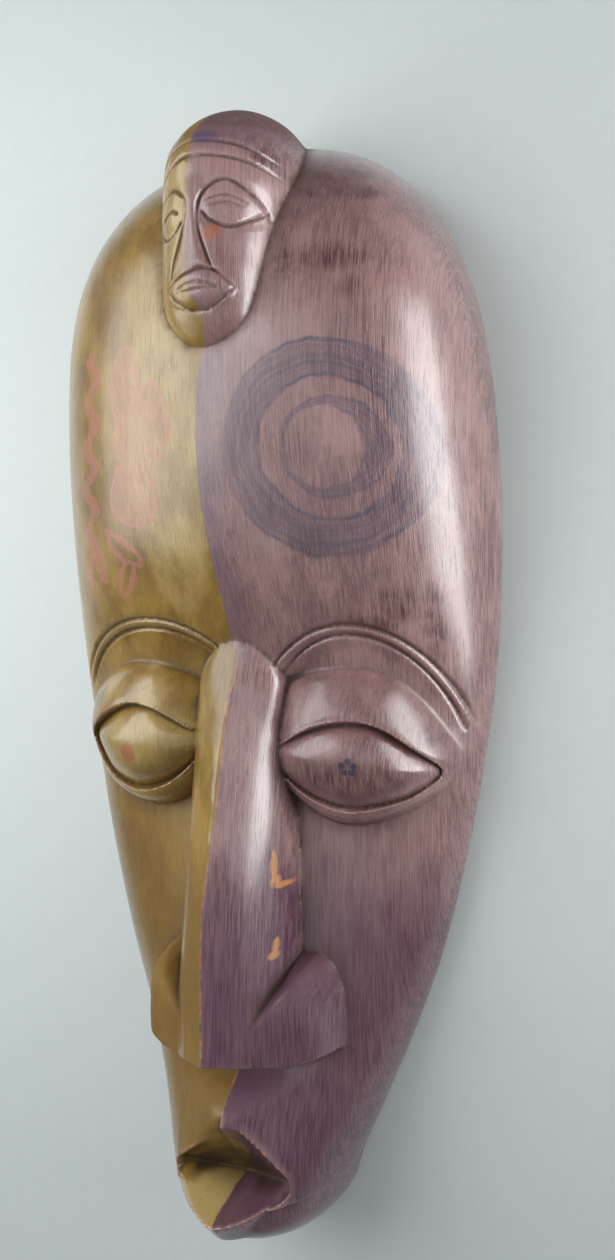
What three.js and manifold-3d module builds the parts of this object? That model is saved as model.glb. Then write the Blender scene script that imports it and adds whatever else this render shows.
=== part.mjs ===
// A long carved face mask with a small second face on its crown, cut from one block of wood.
// Millimetres. The mask lies on its back: +Y runs from chin to crown, +Z comes out of the face.
// The origin is under the middle of the mask, on the plane of its flat back rim.

import * as THREE from 'three';
import { ConvexGeometry } from 'three/addons/geometries/ConvexGeometry.js';
import { mergeVertices } from 'three/addons/utils/BufferGeometryUtils.js';
import Module from 'manifold-3d';

const wasm = await Module();
wasm.setup();

// Driving dimensions of the mask's body

const CHIN_END = -512;
const CROWN_END = 500;
const CROWN_ROUNDNESS = 2.7;
const CHIN_ROUNDNESS = 3.0;

// Each station holds the half width and the height of the body before its two ends are rounded
// off, and how square its cross-section is (2 is an ellipse).
const BODY_STATIONS = [
  { y: -512, halfWidth: 170, depth: 262, square: 2.1 },
  { y: -460, halfWidth: 133, depth: 212, square: 2.1 },
  { y: -400, halfWidth: 137, depth: 158, square: 1.9 },
  { y: -340, halfWidth: 151, depth: 112, square: 2 },
  { y: -256, halfWidth: 171, depth: 90, square: 2.2 },
  { y: -128, halfWidth: 194, depth: 82, square: 2.5 },
  { y: 0, halfWidth: 212, depth: 97, square: 2.5 },
  { y: 128, halfWidth: 220, depth: 147, square: 2.3 },
  { y: 256, halfWidth: 225, depth: 185, square: 2.45 },
  { y: 384, halfWidth: 236, depth: 205, square: 2.85 },
  { y: 512, halfWidth: 252, depth: 215, square: 2.65 },
];
const BODY_ROWS = 38;
const BODY_COLUMNS = 32;
// The first and last rows stand this much of a turn, in radians, away from the very ends.
const END_ROW_TURN = 0.035;

const WALL = 30;
const RIM_WIDTH = 27;
const HOLLOW_CHIN_END = -440;
const HOLLOW_CROWN_END = 462;
const HOLLOW_ROWS = 16;
const HOLLOW_COLUMNS = 16;

// Brow: an arched line over each eye, cut as two grooves, with the wood dug away below it

// The two brows differ a little: the left one is flatter and sits higher.
const BROWS = {
  right: { x: 104, y: -96, width: 108, height: 155 },
  left: { x: 92, y: -47, width: 115, height: 110 },
};
const BROW_BAND = 9;
const BROW_START = THREE.MathUtils.degToRad(132);
const BROW_END = THREE.MathUtils.degToRad(25);
const BROW_GROOVE = { width: 5.5, depth: 4 };

// The wood below the brow is dug away, most of all beside the nose.
const SOCKET = { depth: 5, innerDepth: 7, fade: 0.16, lowY: -60, highY: 0, innerX: 45, outerX: 90 };

// Eyes: the lids swell out of the face as one mound, with an almond opening for the eyeball.
// Each outline point holds x, y and how far the wood stands above the face there.

const LID_CENTRE = { x: 110, y: -55, lift: 41 };
const LID_OUTLINE = [
  [36, -4, 5], [60, 13, 3], [85, 20, 0], [111, 20, 0], [138, 11, 0], [160, -8, 2], [178, -33, 4],
  [189, -56, 5], [180, -78, 8], [166, -92, 12], [142, -109, 14], [116, -119, 14], [92, -121, 14],
  [68, -113, 14], [46, -93, 14], [34, -60, 15],
];
const EYEBALL_CENTRE = { x: 107, y: -64, lift: 41 };
const EYE_OPENING = [
  [30, -62, 18], [66, -36, 25], [100, -29, 26], [142, -42, 20], [175, -67, 12], [146, -91, 18],
  [104, -106, 21], [64, -95, 22],
];
const EYE_RINGS = [0.05, 0.3, 0.5, 0.68, 0.84, 1];
const EYE_OUTLINE_STEPS = 32;
// The eyeball is made a little larger than its opening, so that it runs in under the lids.
const EYEBALL_GROWTH = { x: 1.03, y: 1.07 };
const EYE_FOOT = 35;
const EYE_CUT_TOP = 160;

// Nose: a long tongue with a soft ridge, whose sides round over and drop steeply to the cheeks

const FOOT = 50;
const NOSE_STATIONS = [
  { y: -318, ridge: 177, edge: 56 },
  { y: -250, ridge: 175, edge: 56 },
  { y: -204, ridge: 171, edge: 55 },
  { y: -165, ridge: 166, edge: 53 },
  { y: -128, ridge: 160, edge: 52 },
  { y: -92, ridge: 153, edge: 49 },
  { y: -43, ridge: 141, edge: 45 },
  { y: -10, ridge: 128, edge: 43 },
  { y: 8, ridge: 122, edge: 42 },
  { y: 21, ridge: 118, edge: 36 },
  { y: 31, ridge: 115, edge: 28 },
  { y: 39, ridge: 112, edge: 17 },
];
const NOSE_ROUNDNESS = 2.4;
const NOSE_RIDGE_SHARE = 0.2;
const NOSE_COLUMNS = 15;
const NOSE_SINK = 3;

// Nostril wings: a faceted block on each side of the nose's lower end, set off by a slanting crease

const WING_CREASE = [[58, -238], [44, -256], [27, -279]];
const WING_GROOVE = { width: 9, depth: 6, steps: 4 };
const WING_FACE = [
  [28, -281, 156], [84, -266, 127], [88, -289, 123], [89, -314, 115], [81, -321, 120], [51, -323, 140],
  [0, -322, 168], [0, -316, 176], [0, -284, 173],
];
const WING_SHOULDER = [[57, -240, 112], [72, -249, 112]];
const WING_FOOT = [
  [0, -284], [57, -240], [72, -249], [84, -266], [89, -289], [90, -326], [82, -334], [0, -330],
];

// Mouth: a beak of an upper lip, a deep cut, and a lower lip that juts like a spout

const LIP_PEAK = [0, -374, 137];
const LIP_PEAK_FOOT = [0, -406, 113];
const LIP_EDGE = [46, -421, 119];
const LIP_SIDE = [58, -385, 102];
const MOUTH_CORNER = [60, -438, 106];
const MOUTH_DEEP = [0, -454, 80];
const MOUTH_REACH = { outward: 70, front: 1.9, corner: 1.5 };
const MOUTH_EDGE_GAP = 2;
const PHILTRUM = { y: -344, z: 98 };
const LOWER_LIP = { y: -450, rootY: -440, halfWidth: 57, cornerZ: 96, frontZ: 155, sag: 14, sagPower: 4 };
const CHIN_FOOT = { y: -487, z: 129, halfWidth: 45, side: 26, sag: 5 };

// Small head: its two halves differ a little, the right one being the wider

// It is as wide as stated from the height called base downwards.
const HEAD_SQUARE = 2.1;
const HEAD_STATIONS = [
  { y: 287, right: 5, left: 5, base: 168, front: 173 },
  { y: 291, right: 19, left: 18, base: 168, front: 177 },
  { y: 301, right: 34, left: 28, base: 165, front: 183 },
  { y: 315, right: 44, left: 38, base: 160, front: 190 },
  { y: 336, right: 52, left: 45, base: 145, front: 197 },
  { y: 361, right: 58, left: 50, base: 130, front: 197 },
  { y: 390, right: 63, left: 53, base: 118, front: 197 },
  { y: 418, right: 67, left: 54, base: 110, front: 198 },
  { y: 447, right: 67, left: 52, base: 105, front: 195 },
  { y: 466, right: 62, left: 47, base: 100, front: 181 },
  { y: 480, right: 55, left: 41, base: 95, front: 166 },
  { y: 492, right: 46, left: 34, base: 90, front: 149 },
  { y: 502, right: 33, left: 25, base: 85, front: 131 },
  { y: 509, right: 18, left: 14, base: 85, front: 113 },
  { y: 512, right: 6, left: 5, base: 85, front: 100 },
];
const HEAD_COLUMNS = 22;
const HEAD_GROOVE = { width: 3.2, depth: 2.4 };
// The spacing of the steps along the small head's grooves
const HEAD_GROOVE_STEP = 12;
const HEADBAND_LINES = [
  [[-46, 429], [-30, 441], [0, 450], [30, 446], [61, 428]],
  [[-48, 418], [-32, 430], [0, 439], [30, 434], [62, 415]],
];
const HEAD_BROW_LINE = [
  [53, 388], [46, 402], [36, 413], [24, 419], [12, 414], [7, 398], [7, 372], [12, 354], [19, 340],
];
const HEAD_LOWER_LID = [[10, 395], [25, 385], [50, 393]];
const HEAD_EYE_SLIT = [[14, 401], [26, 404], [40, 400]];
const HEAD_UPPER_LIP = [[-29, 335], [-14, 345], [0, 346], [14, 345], [29, 335]];
const HEAD_LOWER_LIP = [[-29, 335], [-16, 320], [0, 315], [16, 320], [29, 335]];
const HEAD_MOUTH_LINE = [[-19, 333], [0, 336], [19, 333]];

// Gouges: how far the cutter stands above the wood, and how its two tips narrow
const GOUGE = { above: 4, edgeAbove: 0.2, tipShare: 0.35, tipSteps: 2 };

const STAINED_WOOD = { color: 0x8a6468, roughness: 0.45, metalness: 0 };

/** Smooth interpolation of one field of a list of stations, at any y between its ends. */
function along(stations, field, y) {
  const last = stations.length - 1;
  const at = THREE.MathUtils.clamp(y, stations[0].y, stations[last].y);
  let i = 0;
  while (i < last - 1 && at > stations[i + 1].y) i += 1;
  const slope = (k) => {
    const a = stations[Math.max(k - 1, 0)];
    const b = stations[Math.min(k + 1, last)];
    return (b[field] - a[field]) / (b.y - a.y);
  };
  const span = stations[i + 1].y - stations[i].y;
  const t = (at - stations[i].y) / span;
  const startWeight = 2 * t ** 3 - 3 * t ** 2 + 1;
  const straight = startWeight * stations[i][field] + (1 - startWeight) * stations[i + 1][field];
  const startSlope = (t ** 3 - 2 * t ** 2 + t) * span * slope(i);
  const endSlope = (t ** 3 - t ** 2) * span * slope(i + 1);
  return straight + startSlope + endSlope;
}

/** How much of its full section the body still has at y: 1 in the middle and 0 at both ends. */
function endRounding(y, chinEnd, crownEnd) {
  const t = (y - (crownEnd + chinEnd) / 2) / ((crownEnd - chinEnd) / 2);
  const roundness = t > 0 ? CROWN_ROUNDNESS : CHIN_ROUNDNESS;
  return Math.max(1 - Math.abs(t) ** roundness, 0) ** (1 / roundness);
}

function bodySection(y) {
  const rounding = endRounding(y, CHIN_END, CROWN_END);
  return {
    halfWidth: rounding * along(BODY_STATIONS, 'halfWidth', y),
    depth: rounding * along(BODY_STATIONS, 'depth', y),
    square: along(BODY_STATIONS, 'square', y),
  };
}

/** How deep the wood is dug away under the brow at a point of the face. */
function socketDepth(x, y) {
  const brow = x > 0 ? BROWS.right : BROWS.left;
  const reach = Math.hypot((Math.abs(x) - brow.x) / brow.width, (y - brow.y) / brow.height);
  const inside = THREE.MathUtils.smoothstep(1 - reach, 0, SOCKET.fade);
  const height = THREE.MathUtils.smoothstep(y, SOCKET.lowY, SOCKET.highY);
  const inner = 1 - THREE.MathUtils.smoothstep(Math.abs(x), SOCKET.innerX, SOCKET.outerX);
  return inside * height * (SOCKET.depth + SOCKET.innerDepth * inner);
}

/** Height of the body's front at a point, before features are added. */
function bodyFront(x, y) {
  const { halfWidth, depth, square } = bodySection(y);
  const across = Math.min(Math.abs(x) / halfWidth, 1);
  return depth * (1 - across ** square) ** (1 / square) - socketDepth(x, y);
}

/** Height of the nose's front at a point: partly an arch, partly a straight slope up to the ridge. */
function noseFront(x, y) {
  const edge = along(NOSE_STATIONS, 'edge', y);
  const across = Math.min(Math.abs(x) / edge, 1);
  const base = bodyFront(edge, y) - NOSE_SINK;
  const arch = (1 - across ** NOSE_ROUNDNESS) ** (1 / NOSE_ROUNDNESS);
  const rise = along(NOSE_STATIONS, 'ridge', y) - base;
  return base + rise * THREE.MathUtils.lerp(arch, 1 - across, NOSE_RIDGE_SHARE);
}

/** Height of the small head's front at a point. */
function headFront(x, y) {
  const halfWidth = along(HEAD_STATIONS, x > 0 ? 'right' : 'left', y);
  const across = Math.min(Math.abs(x) / halfWidth, 1);
  const base = along(HEAD_STATIONS, 'base', y);
  const rise = along(HEAD_STATIONS, 'front', y) - base;
  return base + rise * (1 - across ** HEAD_SQUARE) ** (1 / HEAD_SQUARE);
}

/** Turns a closed geometry into a solid that can be joined and cut. */
function solid(geometry) {
  const bare = geometry.clone();
  bare.deleteAttribute('normal');
  bare.deleteAttribute('uv');
  const merged = mergeVertices(bare, 1e-3);
  const triVerts = new Uint32Array(merged.index.array);
  const vertProperties = new Float32Array(merged.attributes.position.array);
  return new wasm.Manifold(new wasm.Mesh({ numProp: 3, vertProperties, triVerts }));
}

/** Turns a solid back into a geometry that a mesh can show. */
function geometryOf(body) {
  const { vertProperties, triVerts } = body.getMesh();
  const geometry = new THREE.BufferGeometry();
  geometry.setAttribute('position', new THREE.BufferAttribute(new Float32Array(vertProperties), 3));
  geometry.setIndex(new THREE.BufferAttribute(new Uint32Array(triVerts), 1));
  geometry.computeVertexNormals();
  return geometry;
}

/** Signed volume of an indexed geometry: negative where its faces point inwards. */
function signedVolume(geometry) {
  const position = geometry.attributes.position;
  const index = geometry.index;
  const corners = [new THREE.Vector3(), new THREE.Vector3(), new THREE.Vector3()];
  let volume = 0;
  for (let i = 0; i < index.count; i += 3) {
    corners.forEach((corner, k) => corner.fromBufferAttribute(position, index.getX(i + k)));
    volume += corners[0].dot(corners[1].clone().cross(corners[2]));
  }
  return volume;
}

/** A closed solid through a row of rings that all have the same number of points. */
function loft(rings) {
  const points = rings.flat();
  const size = rings[0].length;
  const faces = [];
  for (let r = 0; r + 1 < rings.length; r += 1) {
    for (let k = 0; k < size; k += 1) {
      const a = r * size + k;
      const b = r * size + ((k + 1) % size);
      faces.push(a, b, a + size, b, b + size, a + size);
    }
  }
  [0, rings.length - 1].forEach((r) => {
    const centre = points.length;
    points.push(rings[r].reduce((sum, p) => sum.add(p), new THREE.Vector3()).divideScalar(size));
    for (let k = 0; k < size; k += 1) {
      const a = r * size + k;
      const b = r * size + ((k + 1) % size);
      faces.push(...(r === 0 ? [b, a, centre] : [a, b, centre]));
    }
  });
  const geometry = new THREE.BufferGeometry().setFromPoints(points);
  geometry.setIndex(faces);
  if (signedVolume(geometry) < 0) {
    for (let i = 0; i < faces.length; i += 3) [faces[i], faces[i + 1]] = [faces[i + 1], faces[i]];
    geometry.setIndex(faces);
  }
  return solid(geometry);
}

/** A faceted block spanned by a few corner points. */
function block(corners) {
  return solid(new ConvexGeometry(corners.map((corner) => new THREE.Vector3(...corner))));
}

/** Rows between two ends, packed closer together near the ends. */
function rowsBetween(start, end, count) {
  return Array.from({ length: count }, (_, i) => {
    const turn = THREE.MathUtils.lerp(END_ROW_TURN, Math.PI - END_ROW_TURN, i / (count - 1));
    return (start + end) / 2 - (Math.cos(turn) * (end - start)) / 2;
  });
}

/** One ring of the body's section: over the front from side to side, with its back along the rim plane. */
function archRing(y, columns, halfWidth, square, heightAt) {
  return Array.from({ length: columns }, (_, k) => {
    const turn = (Math.PI * k) / (columns - 1);
    const across = Math.cos(turn);
    const x = Math.sign(across) * halfWidth * Math.abs(across) ** (2 / square);
    const end = k === 0 || k === columns - 1;
    return new THREE.Vector3(x, y, end ? 0 : heightAt(x, y));
  });
}

function makeBody() {
  const rings = rowsBetween(CHIN_END, CROWN_END, BODY_ROWS).map((y) => {
    const { halfWidth, square } = bodySection(y);
    return archRing(y, BODY_COLUMNS, halfWidth, square, bodyFront);
  });
  return loft(rings);
}

/** The space scooped out of the back, which leaves a wall of even thickness and a flat rim. */
function makeHollow() {
  const rings = rowsBetween(HOLLOW_CHIN_END, HOLLOW_CROWN_END, HOLLOW_ROWS).map((y) => {
    const rounding = endRounding(y, HOLLOW_CHIN_END, HOLLOW_CROWN_END);
    const { halfWidth, depth, square } = bodySection(y);
    const inner = rounding * (halfWidth - RIM_WIDTH);
    const roof = rounding * (depth - WALL);
    const heightAt = (x) => roof * Math.max(1 - (Math.abs(x) / inner) ** square, 0) ** (1 / square);
    const ring = archRing(y, HOLLOW_COLUMNS, inner, square, heightAt);
    ring[0].z = -1;
    ring[HOLLOW_COLUMNS - 1].z = -1;
    return ring;
  });
  return loft(rings);
}

/** A pointed gouge line, swept along points that lie on a surface given by its height. */
function gouge(points, heightAt, { width, depth }, steps) {
  const path = new THREE.SplineCurve(points.map(([x, y]) => new THREE.Vector2(x, y)));
  const onSurface = (x, y) => new THREE.Vector3(x, y, heightAt(x, y));
  const rings = path.getSpacedPoints(steps).map(({ x, y }, i) => {
    const here = onSurface(x, y);
    const eastward = onSurface(x + 1, y).sub(onSurface(x - 1, y));
    const upward = onSurface(x, y + 1).sub(onSurface(x, y - 1));
    const normal = eastward.cross(upward).normalize();
    const tangent = path.getTangentAt(i / steps);
    const side = new THREE.Vector3(tangent.y, -tangent.x, 0);
    side.addScaledVector(normal, -side.dot(normal)).normalize();
    const fromTip = Math.min(i, steps - i, GOUGE.tipSteps) / GOUGE.tipSteps;
    const taper = THREE.MathUtils.lerp(GOUGE.tipShare, 1, fromTip);
    const offset = (across, out) => here.clone().addScaledVector(side, across).addScaledVector(normal, out);
    return [
      offset((taper * width) / 2, GOUGE.edgeAbove), offset(0, GOUGE.above),
      offset((-taper * width) / 2, GOUGE.edgeAbove), offset(0, -taper * depth),
    ];
  });
  return loft(rings);
}

function mirrored(points) {
  return points.map(([x, ...rest]) => [-x, ...rest]);
}

/** One groove of a brow; inset is how far it lies inside the outer one. */
function browGroove(side, inset) {
  const steps = 15;
  const brow = side > 0 ? BROWS.right : BROWS.left;
  const points = Array.from({ length: steps + 1 }, (_, i) => {
    const turn = THREE.MathUtils.lerp(BROW_START, BROW_END, i / steps);
    const x = brow.x + (brow.width - inset) * Math.cos(turn);
    const y = brow.y + (brow.height - inset) * Math.sin(turn);
    return [side * x, y];
  });
  return gouge(points, bodyFront, BROW_GROOVE, steps);
}

/** A swelling on the face inside a closed outline: highest at its centre, with its own lift along the rim. */
function swelling(outline, centre, side) {
  const rim = new THREE.CatmullRomCurve3(outline.map((point) => new THREE.Vector3(...point)), true);
  const rimPoints = rim.getPoints(EYE_OUTLINE_STEPS).slice(0, -1);
  const rings = EYE_RINGS.map((reach) => rimPoints.map((point) => {
    const x = THREE.MathUtils.lerp(centre.x, point.x, reach);
    const y = THREE.MathUtils.lerp(centre.y, point.y, reach);
    const lift = THREE.MathUtils.lerp(centre.lift, point.z, reach ** 2);
    return new THREE.Vector3(side * x, y, bodyFront(x, y) + lift);
  }));
  rings.push(rings[rings.length - 1].map(({ x, y }) => new THREE.Vector3(x, y, EYE_FOOT)));
  return loft(rings);
}

function makeEyeOpening(side) {
  const rim = new THREE.CatmullRomCurve3(EYE_OPENING.map((point) => new THREE.Vector3(...point)), true);
  const rimPoints = rim.getPoints(EYE_OUTLINE_STEPS).slice(0, -1);
  const ringAt = (z) => rimPoints.map(({ x, y }) => new THREE.Vector3(side * x, y, z));
  return loft([ringAt(EYE_FOOT), ringAt(EYE_CUT_TOP)]);
}

function makeEye(side) {
  const lids = swelling(LID_OUTLINE, LID_CENTRE, side).subtract(makeEyeOpening(side));
  const { x: centreX, y: centreY } = EYEBALL_CENTRE;
  const grown = EYE_OPENING.map(([x, y, lift]) => [
    THREE.MathUtils.lerp(centreX, x, EYEBALL_GROWTH.x), THREE.MathUtils.lerp(centreY, y, EYEBALL_GROWTH.y), lift,
  ]);
  return lids.add(swelling(grown, EYEBALL_CENTRE, side));
}

function makeNose() {
  const rings = NOSE_STATIONS.map(({ y, edge }) => {
    const front = Array.from({ length: NOSE_COLUMNS }, (_, k) => {
      const across = Math.cos((Math.PI * k) / (NOSE_COLUMNS - 1));
      const x = Math.sign(across) * edge * Math.abs(across) ** (2 / NOSE_ROUNDNESS);
      return new THREE.Vector3(x, y, noseFront(x, y));
    });
    return [new THREE.Vector3(edge, y, FOOT), ...front, new THREE.Vector3(-edge, y, FOOT)];
  });
  return loft(rings);
}

function makeWing(side) {
  const corners = [...WING_FACE, ...WING_SHOULDER, ...WING_FOOT.map(([x, y]) => [x, y, FOOT])];
  return block(side > 0 ? corners : mirrored(corners));
}

/** One half of the upper lip's beak. */
function makeUpperLip(side) {
  const corners = [
    LIP_PEAK, LIP_PEAK_FOOT, LIP_EDGE, MOUTH_CORNER, LIP_SIDE,
    [0, PHILTRUM.y, PHILTRUM.z], [0, PHILTRUM.y, FOOT], [0, MOUTH_CORNER[1], FOOT],
    [LIP_SIDE[0], PHILTRUM.y, FOOT], [MOUTH_CORNER[0], MOUTH_CORNER[1], FOOT],
  ];
  return block(side > 0 ? corners : mirrored(corners));
}

/** The lower lip and the front of the chin, jutting forward between the mouth's corners. */
function makeLowerLip() {
  const steps = 8;
  const arc = Array.from({ length: steps + 1 }, (_, i) => {
    const turn = (Math.PI * i) / steps;
    return { across: Math.cos(turn), out: Math.sin(turn) };
  });
  const rise = LOWER_LIP.frontZ - LOWER_LIP.cornerZ;
  const lip = arc.map(({ across, out }) => [
    across * LOWER_LIP.halfWidth, LOWER_LIP.y - LOWER_LIP.sag * out ** LOWER_LIP.sagPower,
    LOWER_LIP.cornerZ + rise * out,
  ]);
  const chin = arc.map(({ across, out }) => [
    across * CHIN_FOOT.halfWidth, CHIN_FOOT.y - CHIN_FOOT.sag * out, CHIN_FOOT.z - CHIN_FOOT.side * (1 - out),
  ]);
  const back = [-1, 1].flatMap((end) => [
    [end * LOWER_LIP.halfWidth, LOWER_LIP.rootY, FOOT], [end * CHIN_FOOT.halfWidth, CHIN_FOOT.y, FOOT],
  ]);
  return block([...lip, ...chin, ...back]);
}

/** The mouth's cut. Its left half stops lower, so that the left half of the upper lip hangs further down. */
function makeMouthCut() {
  const front = [0, LOWER_LIP.y - LOWER_LIP.sag, LOWER_LIP.frontZ];
  const deep = new THREE.Vector3(...MOUTH_DEEP);
  const beyond = (corner, reach) => deep.clone().lerp(new THREE.Vector3(...corner), reach).toArray();
  const half = (side, [x, y, z]) => block([
    MOUTH_DEEP, [x, y, z], [x, y, z + MOUTH_REACH.outward], beyond(front, MOUTH_REACH.front),
    beyond([side * MOUTH_CORNER[0], MOUTH_CORNER[1], MOUTH_CORNER[2]], MOUTH_REACH.corner),
  ]);
  const [peakX, peakY, peakZ] = LIP_PEAK;
  return half(-1, LIP_PEAK_FOOT).add(half(1, [peakX, peakY - MOUTH_EDGE_GAP, peakZ]));
}

function makeHead() {
  const rings = HEAD_STATIONS.map(({ y, right, left }) => {
    const front = Array.from({ length: HEAD_COLUMNS }, (_, k) => {
      const across = Math.cos((Math.PI * k) / (HEAD_COLUMNS - 1));
      const halfWidth = across > 0 ? right : left;
      const x = Math.sign(across) * halfWidth * Math.abs(across) ** (2 / HEAD_SQUARE);
      return new THREE.Vector3(x, y, headFront(x, y));
    });
    return [new THREE.Vector3(right, y, FOOT), ...front, new THREE.Vector3(-left, y, FOOT)];
  });
  return loft(rings);
}

/** The lines cut into the small face: headband, brows with the nose's sides, lids and lips. */
function headLines() {
  const paired = [HEAD_BROW_LINE, HEAD_LOWER_LID, HEAD_EYE_SLIT];
  const single = [...HEADBAND_LINES, HEAD_UPPER_LIP, HEAD_LOWER_LIP, HEAD_MOUTH_LINE];
  return [...single, ...paired, ...paired.map(mirrored)].map((line) => {
    const corners = line.map(([x, y]) => new THREE.Vector2(x, y));
    const steps = Math.max(Math.round(new THREE.SplineCurve(corners).getLength() / HEAD_GROOVE_STEP), 4);
    return gouge(line, headFront, HEAD_GROOVE, steps);
  });
}

function makeMask() {
  let mask = makeBody();
  mask = mask.add(makeNose()).add(makeHead()).add(makeLowerLip());
  for (const side of [-1, 1]) {
    mask = mask.add(makeEye(side)).add(makeWing(side)).add(makeUpperLip(side));
    mask = mask.subtract(browGroove(side, 0)).subtract(browGroove(side, BROW_BAND));
    const crease = side > 0 ? WING_CREASE : mirrored(WING_CREASE);
    mask = mask.subtract(gouge(crease, noseFront, WING_GROOVE, WING_GROOVE.steps));
  }
  mask = mask.subtract(makeMouthCut());
  for (const line of headLines()) mask = mask.subtract(line);
  return mask.subtract(makeHollow());
}

const mask = new THREE.Mesh(geometryOf(makeMask()), new THREE.MeshStandardMaterial(STAINED_WOOD));
mask.name = 'carved_mask';

const part = new THREE.Group();
part.add(mask);

export default part;
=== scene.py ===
"""A long carved wooden wall mask that lies on its back, stained ochre on one half and plum on the other.

The mask is carved as one height relief over a rounded shell: brows, lidded eyes, a tongue of a nose with
two nostril wings, an open mouth and a small second face on the crown. The lengths of the carving are in
millimetres, +Y runs from chin to crown and +Z comes out of the face. The scene itself is in metres.
"""

import logging
import math
from dataclasses import dataclass, field
from enum import Enum

import bpy
import numpy as np
import numpy.typing as npt
from mathutils import Matrix, Vector

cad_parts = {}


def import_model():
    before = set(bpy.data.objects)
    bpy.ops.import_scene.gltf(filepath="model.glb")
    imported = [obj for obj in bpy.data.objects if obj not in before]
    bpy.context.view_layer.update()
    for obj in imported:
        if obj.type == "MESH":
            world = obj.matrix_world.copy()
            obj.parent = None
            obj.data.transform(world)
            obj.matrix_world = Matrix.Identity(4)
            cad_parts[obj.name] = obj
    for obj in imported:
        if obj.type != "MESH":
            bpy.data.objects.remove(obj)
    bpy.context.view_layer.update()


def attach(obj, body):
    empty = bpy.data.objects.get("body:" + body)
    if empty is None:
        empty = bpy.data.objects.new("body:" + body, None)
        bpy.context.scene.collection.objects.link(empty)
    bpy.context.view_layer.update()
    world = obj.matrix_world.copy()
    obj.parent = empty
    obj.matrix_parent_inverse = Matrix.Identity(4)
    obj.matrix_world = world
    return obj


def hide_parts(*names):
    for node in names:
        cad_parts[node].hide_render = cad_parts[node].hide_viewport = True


LOG = logging.getLogger("carved_mask")
Numbers = npt.NDArray[np.float64]
Point = tuple[float, ...]
MM = 0.001  # one millimetre, in metres
BELOW_ALL = -1000.0  # a height in millimetres that no wood reaches down to
ABOVE_ALL = 1000.0  # a height in millimetres that no wood reaches up to
FAR_AWAY = 1e9  # a distance in millimetres beyond every other
RIM_MARGIN = 0.6  # how far above the rim plane a face still belongs to the rim
ROOF_MARGIN = 6.0  # how far from the hollow's roof a face still belongs to the hollow
HOLLOW_TOP = 150.0  # a height above which every face is at the front


class Side(Enum):
    """The two halves of the face, as seen from the front."""

    LEFT = -1
    RIGHT = 1


def smooth_step(value: Numbers, low: float, high: float) -> Numbers:
    """A soft switch that is 0 below low and 1 above high.

    Args:
        value: The numbers to switch on.
        low: Where the switch starts.
        high: Where the switch ends.

    Returns:
        The switch, from 0 to 1.
    """
    share = np.clip((value - low) / (high - low), 0.0, 1.0)
    return share * share * (3.0 - 2.0 * share)


def soft_max(first: Numbers, second: Numbers, blend: float) -> Numbers:
    """The higher of two surfaces, with a fillet where they meet.

    Args:
        first: One surface.
        second: The other surface.
        blend: How far apart in height the fillet starts.

    Returns:
        The joined surface.
    """
    near = np.clip(blend - np.abs(first - second), 0.0, None) / blend
    return np.maximum(first, second) + near * near * blend / 4.0


def soft_min(first: Numbers, second: Numbers, blend: float) -> Numbers:
    """The lower of two surfaces, with a rounded edge where they meet.

    Args:
        first: One surface.
        second: The other surface.
        blend: How far apart in height the rounding starts.

    Returns:
        The cut surface.
    """
    return -soft_max(-first, -second, blend)


def curve_between(before: Numbers, start: Numbers, after: Numbers, beyond: Numbers, steps: int) -> Numbers:
    """Joins points by a smooth curve that passes through them.

    Args:
        before: The point before each stretch, a row each.
        start: The point where each stretch starts.
        after: The point where each stretch ends.
        beyond: The point after each stretch.
        steps: How many rows each stretch gives.

    Returns:
        The rows of all stretches in order, each from its start up to just short of its end.
    """
    t = np.linspace(0.0, 1.0, steps, endpoint=False)[:, None]
    before, start, after, beyond = (rows[:, None, :] for rows in (before, start, after, beyond))
    bend = -before + 3.0 * start - 3.0 * after + beyond
    curve = 2.0 * before - 5.0 * start + 4.0 * after - beyond
    rows = start + 0.5 * t * (after - before + t * (curve + t * bend))
    return rows.reshape(-1, rows.shape[-1])


def smooth_path(path: tuple[Point, ...]) -> Numbers:
    """Joins a path's points by a smooth curve.

    Args:
        path: The points to pass through.

    Returns:
        Rows of x and y, six to each stretch of the path.
    """
    corners = np.array(path, float)
    padded = np.vstack([2.0 * corners[0] - corners[1], corners, 2.0 * corners[-1] - corners[-2]])
    rows = curve_between(padded[:-3], padded[1:-2], padded[2:-1], padded[3:], 6)
    return np.vstack([rows, corners[-1]])


def stretch_gap(x: Numbers, y: Numbers, start: Point, end: Point) -> tuple[Numbers, Numbers]:
    """Measures how far points are from a straight stretch.

    Args:
        x: The points' first coordinate.
        y: The points' second coordinate.
        start: Where the stretch starts.
        end: Where it ends.

    Returns:
        The distance, and the share of the way along the stretch at which it is measured.
    """
    (ax, ay), (bx, by) = start, end
    length = (bx - ax) ** 2 + (by - ay) ** 2
    share = np.clip(((x - ax) * (bx - ax) + (y - ay) * (by - ay)) / length, 0.0, 1.0)
    return np.hypot(x - ax - share * (bx - ax), y - ay - share * (by - ay)), share


def inside_distance(x: Numbers, y: Numbers, corners: tuple[Point, ...]) -> Numbers:
    """Measures how deep inside a polygon each point is.

    Args:
        x: The points' first coordinate.
        y: The points' second coordinate.
        corners: The polygon's corners in order.

    Returns:
        The distance to the polygon's edge, negative outside.
    """
    nearest = np.full(x.shape, FAR_AWAY)
    inside = np.zeros(x.shape, bool)
    for (ax, ay), (bx, by) in zip(corners, corners[1:] + corners[:1]):
        nearest = np.minimum(nearest, stretch_gap(x, y, (ax, ay), (bx, by))[0])
        if ay != by:
            crosses = (ay > y) != (by > y)
            inside ^= crosses & (x < (bx - ax) * (y - ay) / (by - ay) + ax)
    return np.where(inside, nearest, -nearest)


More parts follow.
